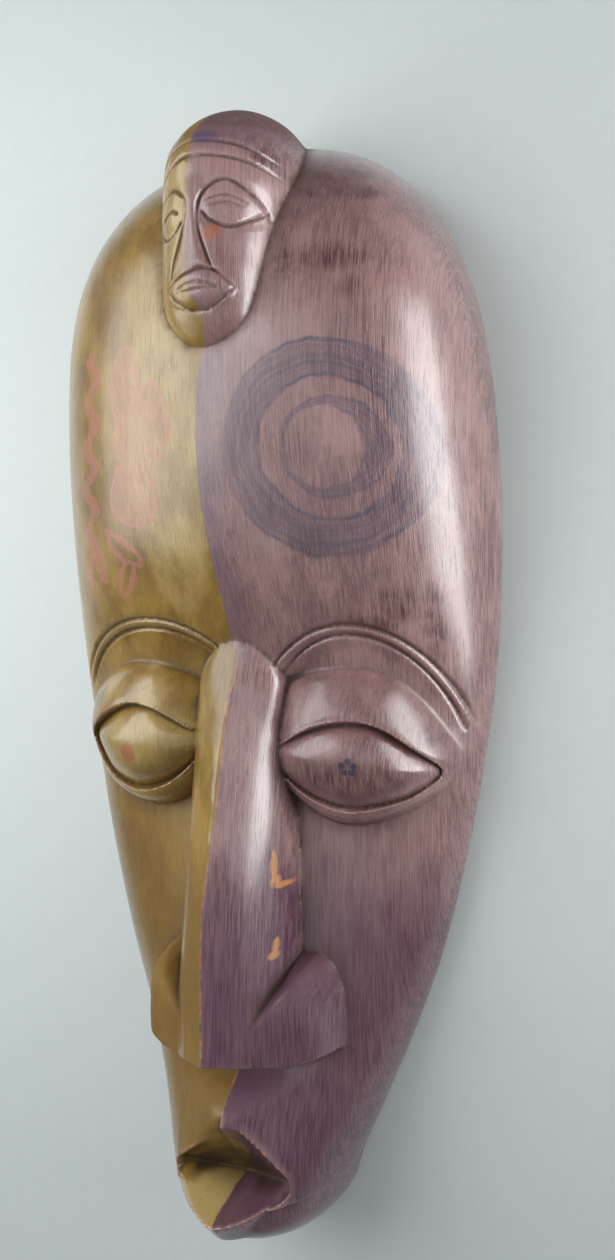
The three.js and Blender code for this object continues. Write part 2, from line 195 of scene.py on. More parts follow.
@dataclass(frozen=True)
class Profile:
    """One size that changes smoothly along a line, through (place, size) stations."""

    stations: tuple[Point, ...]

    def at(self, place: Numbers) -> Numbers:
        """Reads the size at any places.

        Args:
            place: Where to read; places beyond the ends read the end's size.

        Returns:
            The size at each place.
        """
        places, sizes = np.array(self.stations, float).T
        slopes = np.gradient(sizes, places, edge_order=1)
        slopes[1:-1] = (sizes[2:] - sizes[:-2]) / (places[2:] - places[:-2])
        held = np.clip(place, places[0], places[-1])
        i = np.clip(np.searchsorted(places, held, side="right") - 1, 0, len(places) - 2)
        span = places[i + 1] - places[i]
        t = (held - places[i]) / span
        start = 2.0 * t**3 - 3.0 * t**2 + 1.0
        bend = (t**3 - 2.0 * t**2 + t) * slopes[i] + (t**3 - t**2) * slopes[i + 1]
        return start * sizes[i] + (1.0 - start) * sizes[i + 1] + bend * span


def shared_profiles(*rows: Point) -> tuple[Profile, ...]:
    """Makes profiles that have their places in common.

    Args:
        rows: The place, and each profile's size there.

    Returns:
        The profiles in the order of the rows' sizes.
    """
    places, *columns = zip(*rows)
    return tuple(Profile(tuple(zip(places, sizes))) for sizes in columns)


@dataclass(frozen=True)
class Outline:
    """A closed outline of (x, y, lift) points around a centre, read by direction."""

    centre: Point
    points: tuple[Point, ...]

    def _smooth(self) -> Numbers:
        """Joins the outline's points by a smooth closed curve.

        Returns:
            Rows of x, y and lift.
        """
        corners = np.array(self.points, float)
        before, after, beyond = (np.roll(corners, shift, axis=0) for shift in (1, -1, -2))
        return curve_between(before, corners, after, beyond, 24)

    def read(self, x: Numbers, y: Numbers) -> tuple[Numbers, Numbers, Numbers]:
        """Reads the outline in the direction of each point.

        Args:
            x: The points' distance from the midline.
            y: The points' place along the mask.

        Returns:
            The reach (0 at the centre, 1 on the outline), the outline's radius and its lift.
        """
        curve = self._smooth()
        away = curve[:, :2] - np.array(self.centre[:2])
        angle = np.arctan2(away[:, 1], away[:, 0])
        order = np.argsort(angle)
        radius = np.hypot(away[:, 0], away[:, 1])[order]
        lift = curve[order, 2]
        dx, dy = x - self.centre[0], y - self.centre[1]
        here = np.arctan2(dy, dx)
        turn = 2.0 * math.pi
        rim = np.interp(here, angle[order], radius, period=turn)
        return np.hypot(dx, dy) / rim, rim, np.interp(here, angle[order], lift, period=turn)


SHELL_HALF_WIDTH, SHELL_DEPTH, SHELL_SQUARENESS = shared_profiles(
    (-512, 170, 262, 2.1), (-460, 133, 212, 2.1), (-400, 137, 158, 1.9), (-340, 151, 112, 2.0),
    (-256, 171, 90, 2.2), (-128, 194, 82, 2.5), (0, 212, 97, 2.5), (128, 220, 147, 2.3),
    (256, 225, 185, 2.45), (384, 236, 205, 2.85), (512, 252, 215, 2.65),
)


@dataclass(frozen=True)
class Shell:
    """The mask's rounded shell before any feature is carved."""

    chin_end: float = -512.0
    crown_end: float = 500.0
    chin_roundness: float = 3.0
    crown_roundness: float = 2.7
    half_width: Profile = SHELL_HALF_WIDTH
    depth: Profile = SHELL_DEPTH
    squareness: Profile = SHELL_SQUARENESS

    def end(self, y: Numbers) -> tuple[Numbers, Numbers]:
        """Measures how near the rounded ends a place is.

        Args:
            y: The points' place along the mask.

        Returns:
            The nearness, 1 at an end, and the nearer end's roundness.
        """
        middle = (self.crown_end + self.chin_end) / 2.0
        t = (y - middle) / ((self.crown_end - self.chin_end) / 2.0)
        return np.abs(t), np.where(t > 0.0, self.crown_roundness, self.chin_roundness)

    def height(self, x: Numbers, y: Numbers) -> Numbers:
        """Measures the shell's front.

        Args:
            x: The points' distance from the midline.
            y: The points' place along the mask.

        Returns:
            The front's height, and 0 beyond the outline.
        """
        end, roundness = self.end(y)
        square = self.squareness.at(y)
        kept = np.clip(1.0 - end**roundness, 0.0, None) ** (square / roundness)
        across = (np.abs(x) / self.half_width.at(y)) ** square
        return self.depth.at(y) * np.clip(kept - across, 0.0, None) ** (1.0 / square)

    def outside(self, x: Numbers, y: Numbers, z: Numbers) -> Numbers:
        """Measures how far outside the shell a point is.

        Args:
            x: The points' distance from the midline.
            y: The points' place along the mask.
            z: The points' height.

        Returns:
            A signed share of the shell's size.
        """
        end, roundness = self.end(y)
        square = self.squareness.at(y)
        across = (np.abs(x) / self.half_width.at(y)) ** square
        arch = (across + (z / self.depth.at(y)) ** square) ** (roundness / square)
        return (arch + end**roundness) ** (1.0 / roundness) - 1.0


@dataclass(frozen=True)
class Hollow:
    """The space scooped out of the back, which leaves a wall and a flat rim."""

    wall: float = 30.0
    rim_width: float = 27.0
    chin_end: float = -440.0
    crown_end: float = 462.0

    def roof(self, shell: Shell, x: Numbers, y: Numbers) -> Numbers:
        """Measures the hollow's roof.

        Args:
            shell: The shell that the hollow follows.
            x: The points' distance from the midline.
            y: The points' place along the mask.

        Returns:
            The height above the rim plane, and 0 outside the hollow.
        """
        body_end, body_roundness = shell.end(y)
        body = np.clip(1.0 - body_end**body_roundness, 0.0, None) ** (1.0 / body_roundness)
        middle = (self.crown_end + self.chin_end) / 2.0
        t = np.abs(y - middle) / ((self.crown_end - self.chin_end) / 2.0)
        kept = np.clip(1.0 - t**body_roundness, 0.0, None) ** (1.0 / body_roundness)
        square = shell.squareness.at(y)
        half = np.clip(kept * (body * shell.half_width.at(y) - self.rim_width), 0.1, None)
        rise = np.clip(kept * (body * shell.depth.at(y) - self.wall), 0.0, None)
        return rise * np.clip(1.0 - (np.abs(x) / half) ** square, 0.0, None) ** (1.0 / square)


class Relief:
    """A height map over the mask's front, on lines that are close together where the carving is fine."""

    def __init__(self, lines_x: Numbers, lines_y: Numbers, ground: Numbers) -> None:
        """Starts the relief from the ground.

        Args:
            lines_x: The places of the map's columns.
            lines_y: The places of the map's rows.
            ground: The height of the uncarved surface, columns by rows.
        """
        self.lines_x = lines_x
        self.lines_y = lines_y
        self.x, self.y = np.meshgrid(lines_x, lines_y, indexing="ij")
        self.ground = ground
        self.height = ground.copy()

    def raise_to(self, top: Numbers, blend: float) -> None:
        """Adds wood up to a surface, with a fillet at its foot."""
        self.height = soft_max(self.height, top, blend)

    def cut_to(self, floor: Numbers, blend: float) -> None:
        """Cuts wood down to a surface, with a rounded edge around the cut."""
        self.height = soft_min(self.height, floor, blend)

    def distance(self, path: tuple[Point, ...], reach: float) -> tuple[tuple[slice, slice], Numbers, Numbers]:
        """Measures how far the map's points are from a smooth path.

        Args:
            path: The path's (x, y) points.
            reach: How far from the path the measuring goes.

        Returns:
            The part of the map that was measured, the distance and the share of the way along the path.
        """
        line = smooth_path(path)
        low, high = line.min(0) - reach, line.max(0) + reach
        columns = slice(*np.searchsorted(self.lines_x, (low[0], high[0])))
        rows = slice(*np.searchsorted(self.lines_y, (low[1], high[1])))
        x, y = self.x[columns, rows], self.y[columns, rows]
        nearest = np.full(x.shape, FAR_AWAY)
        way = np.zeros(x.shape)
        steps = len(line) - 1
        for i in range(steps):
            gap, share = stretch_gap(x, y, line[i], line[i + 1])
            way = np.where(gap < nearest, (i + share) / steps, way)
            nearest = np.minimum(gap, nearest)
        return (columns, rows), nearest, way

    def groove(self, path: tuple[Point, ...], width: float, depth: float, taper: float = 0.12) -> None:
        """Cuts a gouge line that runs out at both ends.

        Args:
            path: The line's (x, y) points.
            width: The groove's width at the surface.
            depth: The groove's depth.
            taper: The share of the line over which each end runs out.
        """
        part, gap, way = self.distance(path, width)
        ends = np.clip(np.minimum(way, 1.0 - way) / taper, 0.0, 1.0) ** 0.5
        half = width / 2.0 * (0.45 + 0.55 * ends)
        flank = np.clip(1.0 - gap / half, 0.0, 1.0)
        self.height[part] -= depth * (0.3 + 0.7 * ends) * flank * (2.0 - flank) * flank**0.3


@dataclass(frozen=True)
class Brow:
    """An arched brow of two gouge lines, with the wood dug away below it."""

    side: Side
    x: float
    y: float
    width: float
    height: float
    band: float = 9.0
    start: float = 132.0
    end: float = 25.0
    groove_width: float = 6.0
    groove_depth: float = 3.6
    socket_depth: float = 5.0
    socket_inner_depth: float = 7.0
    socket_fade: float = 0.16
    socket_inner: Point = (45.0, 90.0)
    socket_foot: Point = (-60.0, 0.0)

    def carve(self, relief: Relief) -> None:
        """Digs the socket below the brow and cuts the brow's two lines.

        Args:
            relief: The height map to carve.
        """
        x = relief.x * self.side.value
        reach = np.hypot((x - self.x) / self.width, (relief.y - self.y) / self.height)
        inside = smooth_step(1.0 - reach, 0.0, self.socket_fade) * (x > 0.0)
        depth = self.socket_depth + self.socket_inner_depth * (1.0 - smooth_step(x, *self.socket_inner))
        relief.height -= inside * smooth_step(relief.y, *self.socket_foot) * depth
        for inset in (0.0, self.band):
            relief.groove(self._line(inset), self.groove_width, self.groove_depth)

    def _line(self, inset: float) -> tuple[Point, ...]:
        """Draws one of the brow's lines.

        Args:
            inset: How far the line lies inside the outer one.

        Returns:
            The line's (x, y) points.
        """
        turns = np.radians(np.linspace(self.start, self.end, 14))
        xs = self.side.value * (self.x + (self.width - inset) * np.cos(turns))
        ys = self.y + (self.height - inset) * np.sin(turns)
        return tuple(zip(xs.tolist(), ys.tolist()))


@dataclass(frozen=True)
class Eye:
    """A swelling eye: two lids as one mound, and an eyeball in the almond opening between them."""

    side: Side
    mound: Outline
    opening: Outline
    mound_lift: float = 41.0
    ball_lift: float = 41.0
    foot_slope: float = 1.2
    edge_slope: float = 4.0
    bead_width: float = 5.0
    bead_depth: float = 1.0
    bead_softness: float = 1.6
    lid_fullness: float = 2.1
    ball_fullness: float = 2.3
    rim_slope: float = 0.15
    foot_blend: float = 4.0
    edge_rounding: float = 1.5

    def carve(self, relief: Relief) -> None:
        """Raises the lids from the face and sets the eyeball between them.

        Args:
            relief: The height map to carve.
        """
        x = relief.x * self.side.value
        face = relief.height.copy()
        reach, radius, rim = self.mound.read(x, relief.y)
        lift = rim + (self.mound_lift - rim) * self._dome(reach, self.lid_fullness)
        lift -= (self.foot_slope + self.rim_slope * rim) * np.clip(reach - 1.0, 0.0, None) * radius
        relief.raise_to(np.where(x > 0.0, face + lift, BELOW_ALL), self.foot_blend)
        reach, radius, rim = self.opening.read(x, relief.y)
        away = (reach - 1.0) * radius
        bead = np.exp(-(((away - self.bead_width) / self.bead_softness) ** 2))
        relief.height -= np.where(x > 0.0, self.bead_depth * bead, 0.0)
        lift = rim + (self.ball_lift - rim) * self._dome(reach, self.ball_fullness)
        lift += self.edge_slope * np.clip(away, 0.0, None)
        relief.cut_to(np.where(x > 0.0, face + lift, ABOVE_ALL), self.edge_rounding)

    @staticmethod
    def _dome(reach: Numbers, fullness: float) -> Numbers:
        """A round hill, 1 high at its centre and 0 from a reach of 1."""
        return (1.0 - np.clip(reach, 0.0, 1.0) ** fullness) ** 0.8


RIGHT_LIDS = Outline(
    (110, -50),
    (
        (36, -4, 5), (60, 12, 3), (85, 19, 0), (111, 20, 0), (138, 12, 0), (158, -6, 2), (176, -33, 4),
        (189, -60, 5), (178, -80, 8), (164, -92, 12), (142, -105, 14), (116, -114, 14), (92, -115, 14),
        (68, -105, 14), (46, -86, 14), (34, -56, 15),
    ),
)
RIGHT_OPENING = Outline(
    (107, -64),
    (
        (28, -60, 14), (50, -45, 21), (75, -33, 24), (104, -27, 24), (130, -31, 21), (155, -48, 15),
        (177, -69, 7), (158, -88, 10), (135, -97, 13), (104, -102, 14), (75, -95, 14), (48, -79, 14),
    ),
)
LEFT_LIDS = Outline(
    (110, -45),
    (
        (36, -8, 5), (55, 8, 3), (85, 19, 0), (115, 20, 0), (143, 13, 0), (165, 0, 2), (181, -18, 4),
        (188, -45, 5), (180, -64, 8), (165, -82, 12), (145, -99, 14), (118, -110, 14), (92, -112, 14),
        (68, -104, 14), (46, -86, 14), (34, -50, 15),
    ),
)
LEFT_OPENING = Outline(
    (105, -55),
    (
        (30, -46, 14), (50, -38, 21), (70, -28, 24), (88, -21, 25), (108, -19, 24), (130, -26, 21),
        (152, -37, 15), (169, -50, 10), (163, -67, 9), (143, -88, 12), (111, -98, 13), (79, -91, 13),
        (52, -73, 14),
    ),
)


@dataclass(frozen=True)
class Nose:
    """A tongue of a nose with a soft ridge, and a nostril wing on each side of its lower end."""

    ridge: Profile = Profile(
        (
            (-318, 177), (-250, 175), (-204, 171), (-165, 166), (-128, 160), (-92, 153),
            (-43, 141), (-10, 128), (8, 122), (21, 118), (31, 115), (39, 112),
        )
    )
    edge: Profile = Profile(
        (
            (-318, 54), (-250, 54), (-204, 52), (-165, 51), (-128, 50), (-92, 48),
            (-43, 45), (-10, 43), (8, 41), (21, 35), (31, 27), (39, 16), (42, 4),
        )
    )
    roundness: float = 2.4
    ridge_share: float = 0.3
    sink: float = 3.0
    top: float = 41.0
    wall_slope: float = 6.0
    wing_outline: tuple[Point, ...] = (
        (54, -240), (67, -243), (76, -253), (83, -272), (86, -300), (86, -330),
        (0, -340), (0, -284), (24, -285),
    )
    wing_rounding: float = 15.0
    wing_slope: float = 4.5
    wing_front: Point = (195.2, 0.5385, 0.086)
    wing_swell: float = 30.0
    swell_reach: float = 14.0
    rounding_softness: float = 1.3
    crease_start: Point = (28.0, -281.0)
    crease_way: Point = (0.578, 0.817)
    crease_height: float = 150.0
    crease_drop: float = 43.0
    crease_length: float = 50.0
    end_height: float = 150.0
    end_y: float = -321.0
    end_slope: float = 4.6
    end_corner: float = 60.0
    end_corner_slope: float = 2.0
    end_rounding: float = 14.0
    crease_blend: float = 2.0
    foot_blend: float = 5.0

    def carve(self, relief: Relief) -> None:
        """Raises the nose and its wings and cuts the creases between them.

        Args:
            relief: The height map to carve.
        """
        x, y = np.abs(relief.x), relief.y
        whole = soft_max(self._tongue(relief.ground, x, y), self._wings(x, y), self.crease_blend)
        under = self.end_height + self.end_slope * (y - self.end_y)
        under -= self.end_corner_slope * np.clip(x - self.end_corner, 0.0, None)
        relief.raise_to(soft_min(whole, under, self.end_rounding), self.foot_blend)

    def _tongue(self, ground: Numbers, x: Numbers, y: Numbers) -> Numbers:
        """Shapes the nose without its wings: partly an arch, partly a straight slope up to the ridge.

        Args:
            ground: The uncarved surface.
            x: The points' distance from the midline.
            y: The points' place along the mask.

        Returns:
            The tongue's height.
        """
        edge = self.edge.at(y)
        across = np.clip(x / edge, 0.0, 1.0)
        base = ground - self.sink
        arch = (1.0 - across**self.roundness) ** (1.0 / self.roundness)
        share = arch + self.ridge_share * (1.0 - across - arch)
        front = base + (self.ridge.at(y) - base) * share
        front -= self.wall_slope * np.clip(x - edge, 0.0, None)
        return front - self.wall_slope * np.clip(y - self.top, 0.0, None)

    def _wings(self, x: Numbers, y: Numbers) -> Numbers:
        """Shapes the blocks of the two nostril wings, high outside and dipping towards the crease.

        Args:
            x: The points' distance from the midline.
            y: The points' place along the mask.

        Returns:
            The wings' height.
        """
        height, fall, rise = self.wing_front
        front = height - fall * x + rise * y
        (start_x, start_y), (way_x, way_y) = self.crease_start, self.crease_way
        along = (x - start_x) * way_x + (y - start_y) * way_y
        across = (x - start_x) * way_y - (y - start_y) * way_x
        crease = self.crease_height - self.crease_drop * np.clip(along / self.crease_length, -0.2, 1.2)
        swell = self.wing_swell * (1.0 - np.exp(-np.clip(across, -20.0, None) / self.swell_reach))
        block = soft_min(front, crease + swell, self.wing_rounding)
        inside = inside_distance(x, y, self.wing_outline)
        edge = np.clip(self.wing_rounding - inside, 0.0, self.wing_rounding)
        block -= edge**2 / (self.rounding_softness * self.wing_rounding)
        return block - self.wing_slope * np.clip(-inside, 0.0, None)


@dataclass(frozen=True)
class Mouth:
    """An open mouth: a beak of an upper lip, a deep cut, and a lower lip that juts like a spout."""

    peak: Point = (-374.0, 137.0)
    lip_fall: float = 0.652
    lip_rise: float = 0.255
    philtrum: Point = (-344.0, 98.0)
    philtrum_slope: float = 1.3
    half_width: float = 60.0
    lip_swell: float = 24.0
    lip_y: float = -440.0
    lip_sag: float = 24.0
    lip_corner_height: float = 96.0
    lip_front_height: float = 155.0
    chin_slope: float = 0.96
    chin_foot: float = -486.0
    foot_slope: float = 1.6
    deep: Point = (-454.0, 76.0)
    corner: Point = (-438.0, 106.0)
    hang: Point = (-401.0, 122.0)
    philtrum_side: float = 0.15
    beak_rounding: float = 14.0
    left_rise: float = 0.5
    left_side: float = 0.283
    left_rounding: float = 6.0
    side_start: float = 57.0
    side_slope: float = 3.0
    side_end: float = 68.0
    back_slope: float = 5.0
    edge_half_width: float = 59.0
    edge_round: Point = (1.6, 0.8)
    roof_slope: float = 0.9
    roof_easing: float = 0.3
    beak_lean: float = 1.03
    floor_rounding: float = 6.0
    corner_lift: float = 16.0
    lip_blend: float = 4.0
    lip_foot_blend: float = 5.0
    chin_back: float = 4.0
    chin_blend: float = 3.0
    cut_rounding: float = 1.5
    hang_slope: float = 40.0
    flank_slope: float = 6.0
    easing_width: float = 30.0
    corner_start: float = 0.86

    def carve(self, relief: Relief) -> None:
        """Raises both lips and cuts the mouth between them.

        Args:
            relief: The height map to carve.
        """
        x, y = np.abs(relief.x), relief.y
        slope = self.philtrum[1] - self.philtrum_slope * (y - self.philtrum[0]) - self.philtrum_side * x
        plane = self.peak[1] - self.lip_fall * x - self.lip_rise * (y - self.peak[0])
        upper = soft_min(plane, slope, self.beak_rounding)
        hangs = self.peak[1] + self.left_rise * (y - self.peak[0]) + self.left_side * x
        upper = np.where(relief.x < 0.0, soft_min(upper, hangs, self.left_rounding), upper)
        near = relief.ground + self.lip_swell * np.clip(1.0 - (x / self.half_width) ** 2, 0.0, 1.0)
        upper = np.where(y > self.deep[0], soft_min(upper, near, self.lip_blend), BELOW_ALL)
        relief.raise_to(upper, self.lip_foot_blend)
        edge_y, edge_z = self._lower_edge(x)
        chin = edge_z - self.chin_slope * np.clip(edge_y - y, 0.0, None)
        chin -= self.foot_slope * np.clip(self.chin_foot - y, 0.0, None)
        chin -= self.back_slope * np.clip(y - self.corner[0] - self.chin_back, 0.0, None)
        chin = chin - self.side_slope * np.clip(x - self.side_start, 0.0, None)
        relief.raise_to(np.where(x < self.side_end, chin, BELOW_ALL), self.chin_blend)
        relief.cut_to(self._cut(relief.x, y, edge_y, edge_z), self.cut_rounding)

    def _lower_edge(self, x: Numbers) -> tuple[Numbers, Numbers]:
        """Follows the lower lip's front edge.

        Args:
            x: The points' distance from the midline.

        Returns:
            The edge's place along the mask and its height.
        """
        side, front = self.edge_round
        out = np.clip(1.0 - (x / self.edge_half_width) ** side, 0.0, 1.0) ** front
        rise = self.lip_front_height - self.lip_corner_height
        return self.lip_y - self.lip_sag * out, self.lip_corner_height + rise * out

    def _cut(self, x: Numbers, y: Numbers, edge_y: Numbers, edge_z: Numbers) -> Numbers:
        """Shapes the mouth: a slanting roof under each half of the upper lip, and the lower lip's top.

        Args:
            x: The points' place across the mask.
            y: The points' place along the mask.
            edge_y: The lower lip's front edge along the mask.
            edge_z: That edge's height.

        Returns:
            The floor's height, above everything outside the mouth.
        """
        side = np.clip(np.abs(x) / self.half_width, 0.0, 1.0)
        (deep_y, deep_z), (hang_y, hang_z) = (
            (start[0] + (self.corner[0] - start[0]) * side, start[1] + (self.corner[1] - start[1]) * side)
            for start in (self.deep, self.hang)
        )
        down = (hang_y - y) / np.maximum(hang_y - deep_y, 0.5)
        left = hang_z + (deep_z - hang_z) * np.clip(down, 0.0, 1.5)
        left += self.hang_slope * np.clip(-down, 0.0, 3.0)
        edge_x = (self.peak[0] - y) / self.beak_lean
        easing = self.roof_easing * np.clip(x / self.easing_width, 0.0, 1.0)
        right = deep_z + (y - deep_y) * (self.roof_slope - easing)
        right = right + self.flank_slope * np.clip(x - edge_x, 0.0, None)
        above = np.where(x < 0.0, left, right)
        below = deep_z + (deep_y - y) * (edge_z - deep_z) / np.maximum(deep_y - edge_y, 3.0)
        below += self.back_slope * np.clip(edge_y - 0.5 - y, 0.0, None)
        floor = soft_max(above, below, self.floor_rounding)
        floor += self.corner_lift * smooth_step(side, self.corner_start, 1.0)
        beyond = (np.abs(x) > self.half_width) | (y > self.peak[0]) | (y < edge_y - 6.0)
        return np.where(beyond, ABOVE_ALL, floor)


HEAD_RIGHT, HEAD_LEFT, HEAD_FRONT = shared_profiles(
    (287, 5, 5, 173), (291, 19, 18, 177), (301, 34, 28, 183), (315, 44, 38, 190), (336, 52, 45, 197),
    (361, 58, 50, 197), (390, 63, 53, 197), (418, 67, 54, 198), (447, 67, 52, 195), (466, 62, 47, 181),
    (480, 55, 41, 166), (492, 46, 34, 149), (502, 33, 25, 131), (509, 18, 14, 113), (512, 4, 3, 98),
)


@dataclass(frozen=True)
class SmallHead:
    """The second face on the crown: a narrow head with a headband, closed eyes, a long nose and full lips."""

    square: float = 2.1
    right: Profile = HEAD_RIGHT
    left: Profile = HEAD_LEFT
    base: Profile = Profile(
        (
            (287, 168), (301, 165), (315, 160), (336, 145), (361, 130), (390, 118), (418, 110), (447, 105),
            (466, 100), (492, 90), (502, 85), (512, 85),
        )
    )
    front: Profile = HEAD_FRONT
    foot: float = 50.0
    ends: Point = (287.0, 512.0)
    nose_half: Profile = Profile(((336, 20), (354, 12), (372, 7.0), (398, 6.5), (414, 12)))
    nose_lift: float = 2.8
    nose_foot: Point = (338.0, 350.0)
    nose_top: Point = (396.0, 420.0)
    lips: Point = (5.0, 329.0, 30.0, 15.5)
    lip_lift: float = 3.8
    eye: Point = (30.0, 395.0, 24.0, 17.0)
    eye_lift: float = 2.4
    socket_depth: float = 1.6
    socket_margin: float = 0.6
    socket_full: float = 0.8
    nose_margin: float = 2.0
    nose_flank: float = 5.0
    groove_width: float = 3.8
    groove_depth: float = 2.4
    lines: tuple[tuple[Point, ...], ...] = (
        ((-50, 420), (-38, 432), (-20, 443), (-2, 448), (20, 446), (41, 442), (62, 434)),
        ((-51, 408), (-38, 420), (-20, 430), (-1, 435), (25, 433), (44, 430), (64, 423)),
        ((55, 388), (50, 399), (41, 408), (29, 415), (17, 411), (7, 399), (6, 379), (12, 359), (20, 341)),
        ((-42, 390), (-35, 403), (-20, 411), (-9, 406), (-4, 396), (-7, 376), (-16, 354), (-20, 336)),
        ((9, 391), (16, 383), (29, 378), (42, 384), (53, 394)),
        ((-8, 385), (-16, 377), (-27, 374), (-40, 384)),
        ((-12, 391), (-20, 395), (-32, 389)),
        ((-24, 331), (-19, 335), (-2, 341), (11, 344), (22, 341), (34, 330)),
        ((-24, 331), (-13, 320), (1, 314), (19, 317), (34, 330)),
    )
    fine_width: float = 3.0
    fine_depth: float = 1.3
    fine_lines: tuple[tuple[Point, ...], ...] = (
        ((13, 398), (22, 402), (33, 402), (43, 398)),
        ((15, 395), (28, 397), (41, 395)),
        ((-14, 328), (-2, 332), (10, 333), (23, 329)),
        ((-12, 327), (0, 327), (10, 328), (22, 329)),
    )

    def carve(self, relief: Relief) -> None:
        """Shapes the small face on the head's own smooth front.

        Args:
            relief: The height map to carve.
        """
        x, y = relief.x, relief.y
        away = np.abs(x)
        nose = smooth_step(self.nose_half.at(y) + self.nose_margin - away, 0.0, self.nose_flank)
        nose *= smooth_step(y, *self.nose_foot)
        relief.height += self.nose_lift * nose * (1.0 - smooth_step(y, *self.nose_top))
        lips, eye = (
            1.0 - ((across - middle_x) / radius_x) ** 2 - ((y - middle_y) / radius_y) ** 2
            for across, (middle_x, middle_y, radius_x, radius_y) in ((x, self.lips), (away, self.eye))
        )
        relief.height += self.lip_lift * np.sqrt(np.clip(lips, 0.0, 1.0))
        socket = np.clip(eye + self.socket_margin, 0.0, self.socket_full)
        relief.height += self.eye_lift * np.clip(eye, 0.0, 1.0) - self.socket_depth * socket
        for line in self.lines:
            relief.groove(line, self.groove_width, self.groove_depth)
        for line in self.fine_lines:
            relief.groove(line, self.fine_width, self.fine_depth)

    def ground(self, x: Numbers, y: Numbers) -> Numbers:
        """Measures the head's smooth front, before its face is carved.

        Args:
            x: The points' distance from the midline.
            y: The points' place along the mask.

        Returns:
            The front's height.
        """
        half = np.where(x > 0.0, self.right.at(y), self.left.at(y))
        across = np.clip(np.abs(x) / half, 0.0, 1.0)
        base = self.base.at(y)
        return base + (self.front.at(y) - base) * (1.0 - across**self.square) ** (1.0 / self.square)

    def outside(self, x: Numbers, y: Numbers, z: Numbers) -> Numbers:
        """Measures roughly how far outside the head a point is.

        Args:
            x: The points' distance from the midline.
            y: The points' place along the mask.
            z: The points' height.

        Returns:
            The distance in millimetres.
        """
        half = np.where(x > 0.0, self.right.at(y), self.left.at(y))
        base = self.base.at(y)
        rise = self.front.at(y) - base
        across = (np.abs(x) / half) ** self.square
        up = (np.clip(z - base, 0.0, None) / rise) ** self.square
        gap = ((across + up) ** (1.0 / self.square) - 1.0) * np.minimum(half, rise)
        chin, top = self.ends
        return np.maximum(gap, np.maximum(y - top, chin - y))


def spaced_lines(*stretches: Point) -> Numbers:
    """Lines with a spacing of their own in each stretch.

    Args:
        stretches: Rows of start, end and spacing.

    Returns:
        The places of all lines, rising.
    """
    parts = [
        np.linspace(start, end, max(round((end - start) / spacing), 1), endpoint=False)
        for start, end, spacing in stretches
    ]
    return np.concatenate([*parts, [stretches[-1][1]]])


class SurfaceNet:
    """Turns a field on a box of grid lines into a closed mesh of quads."""

    def __init__(self, lines: tuple[Numbers, Numbers, Numbers], values: npt.NDArray[np.float32]) -> None:
        """Keeps the field.

        Args:
            lines: The grid's lines along x, y and z.
            values: The field at every crossing of the lines, negative inside the wood.
        """
        self.lines = lines
        self.values = values
        self.inside = values < 0.0

    def mesh(self) -> tuple[Numbers, npt.NDArray[np.int64]]:
        """Builds the mesh.

        Returns:
            The vertices and the quads.
        """
        cells = self._mixed_cells()
        number = np.full(tuple(n - 1 for n in self.values.shape), -1, np.int32)
        number[cells] = np.arange(len(cells[0]), dtype=np.int32)
        return self._vertices(cells), self._quads(number)

    def _mixed_cells(self) -> tuple[npt.NDArray[np.int64], ...]:
        """Finds the cells that the surface passes through.

        Returns:
            The cells' three indices.
        """
        some = np.zeros(tuple(n - 1 for n in self.values.shape), bool)
        every = np.ones_like(some)
        for corner in self._corners():
            part = self.inside[tuple(slice(c, n - 1 + c) for c, n in zip(corner, self.values.shape))]
            some |= part
            every &= part
        return np.nonzero(some & ~every)

    @staticmethod
    def _corners() -> list[tuple[int, int, int]]:
        """The eight corners of a cell."""
        return [(i, j, k) for i in (0, 1) for j in (0, 1) for k in (0, 1)]

    def _vertices(self, cells: tuple[npt.NDArray[np.int64], ...]) -> Numbers:
        """Puts one vertex in each cell, at the middle of where the surface crosses the cell's edges.

        Args:
            cells: The cells' three indices.

        Returns:
            A row of x, y and z for each cell.
        """
        index = np.stack(cells, axis=1)
        total = np.zeros((len(index), 3))
        count = np.zeros(len(index))
        for corner in self._corners():
            for axis in range(3):
                if corner[axis]:
                    continue
                start = index + np.array(corner)
                end = start.copy()
                end[:, axis] += 1
                first = self.values[tuple(start.T)].astype(float)
                second = self.values[tuple(end.T)].astype(float)
                crosses = (first < 0.0) != (second < 0.0)
                share = np.where(crosses, first / np.where(crosses, first - second, 1.0), 0.0)
                place = np.stack([line[start[:, a]] for a, line in enumerate(self.lines)], axis=1)
                line = self.lines[axis]
                place[:, axis] += share * (line[end[:, axis]] - line[start[:, axis]])
                total += place * crosses[:, None]
                count += crosses
        return total / count[:, None]

    def _quads(self, number: npt.NDArray[np.int32]) -> npt.NDArray[np.int64]:
        """Puts one quad around each grid edge that the surface crosses, facing out of the wood.

        Args:
            number: Each cell's vertex, and -1 where it has none.

        Returns:
            The four vertices of each quad.
        """
        found = []
        for axis in range(3):
            ahead = np.moveaxis(self.inside, axis, 0)
            crosses = ahead[:-1] != ahead[1:]
            a, b, c = np.nonzero(crosses[:, 1:-1, 1:-1])
            leaves = ahead[:-1][a, b + 1, c + 1]
            cell = np.moveaxis(number, axis, 0)
            ring = [cell[a, b, c], cell[a, b + 1, c], cell[a, b + 1, c + 1], cell[a, b, c + 1]]
            quad = np.stack(ring, axis=1)
            turned = leaves if axis != 1 else ~leaves
            found.append(np.where(turned[:, None], quad, quad[:, ::-1]))
        return np.concatenate(found).astype(np.int64)


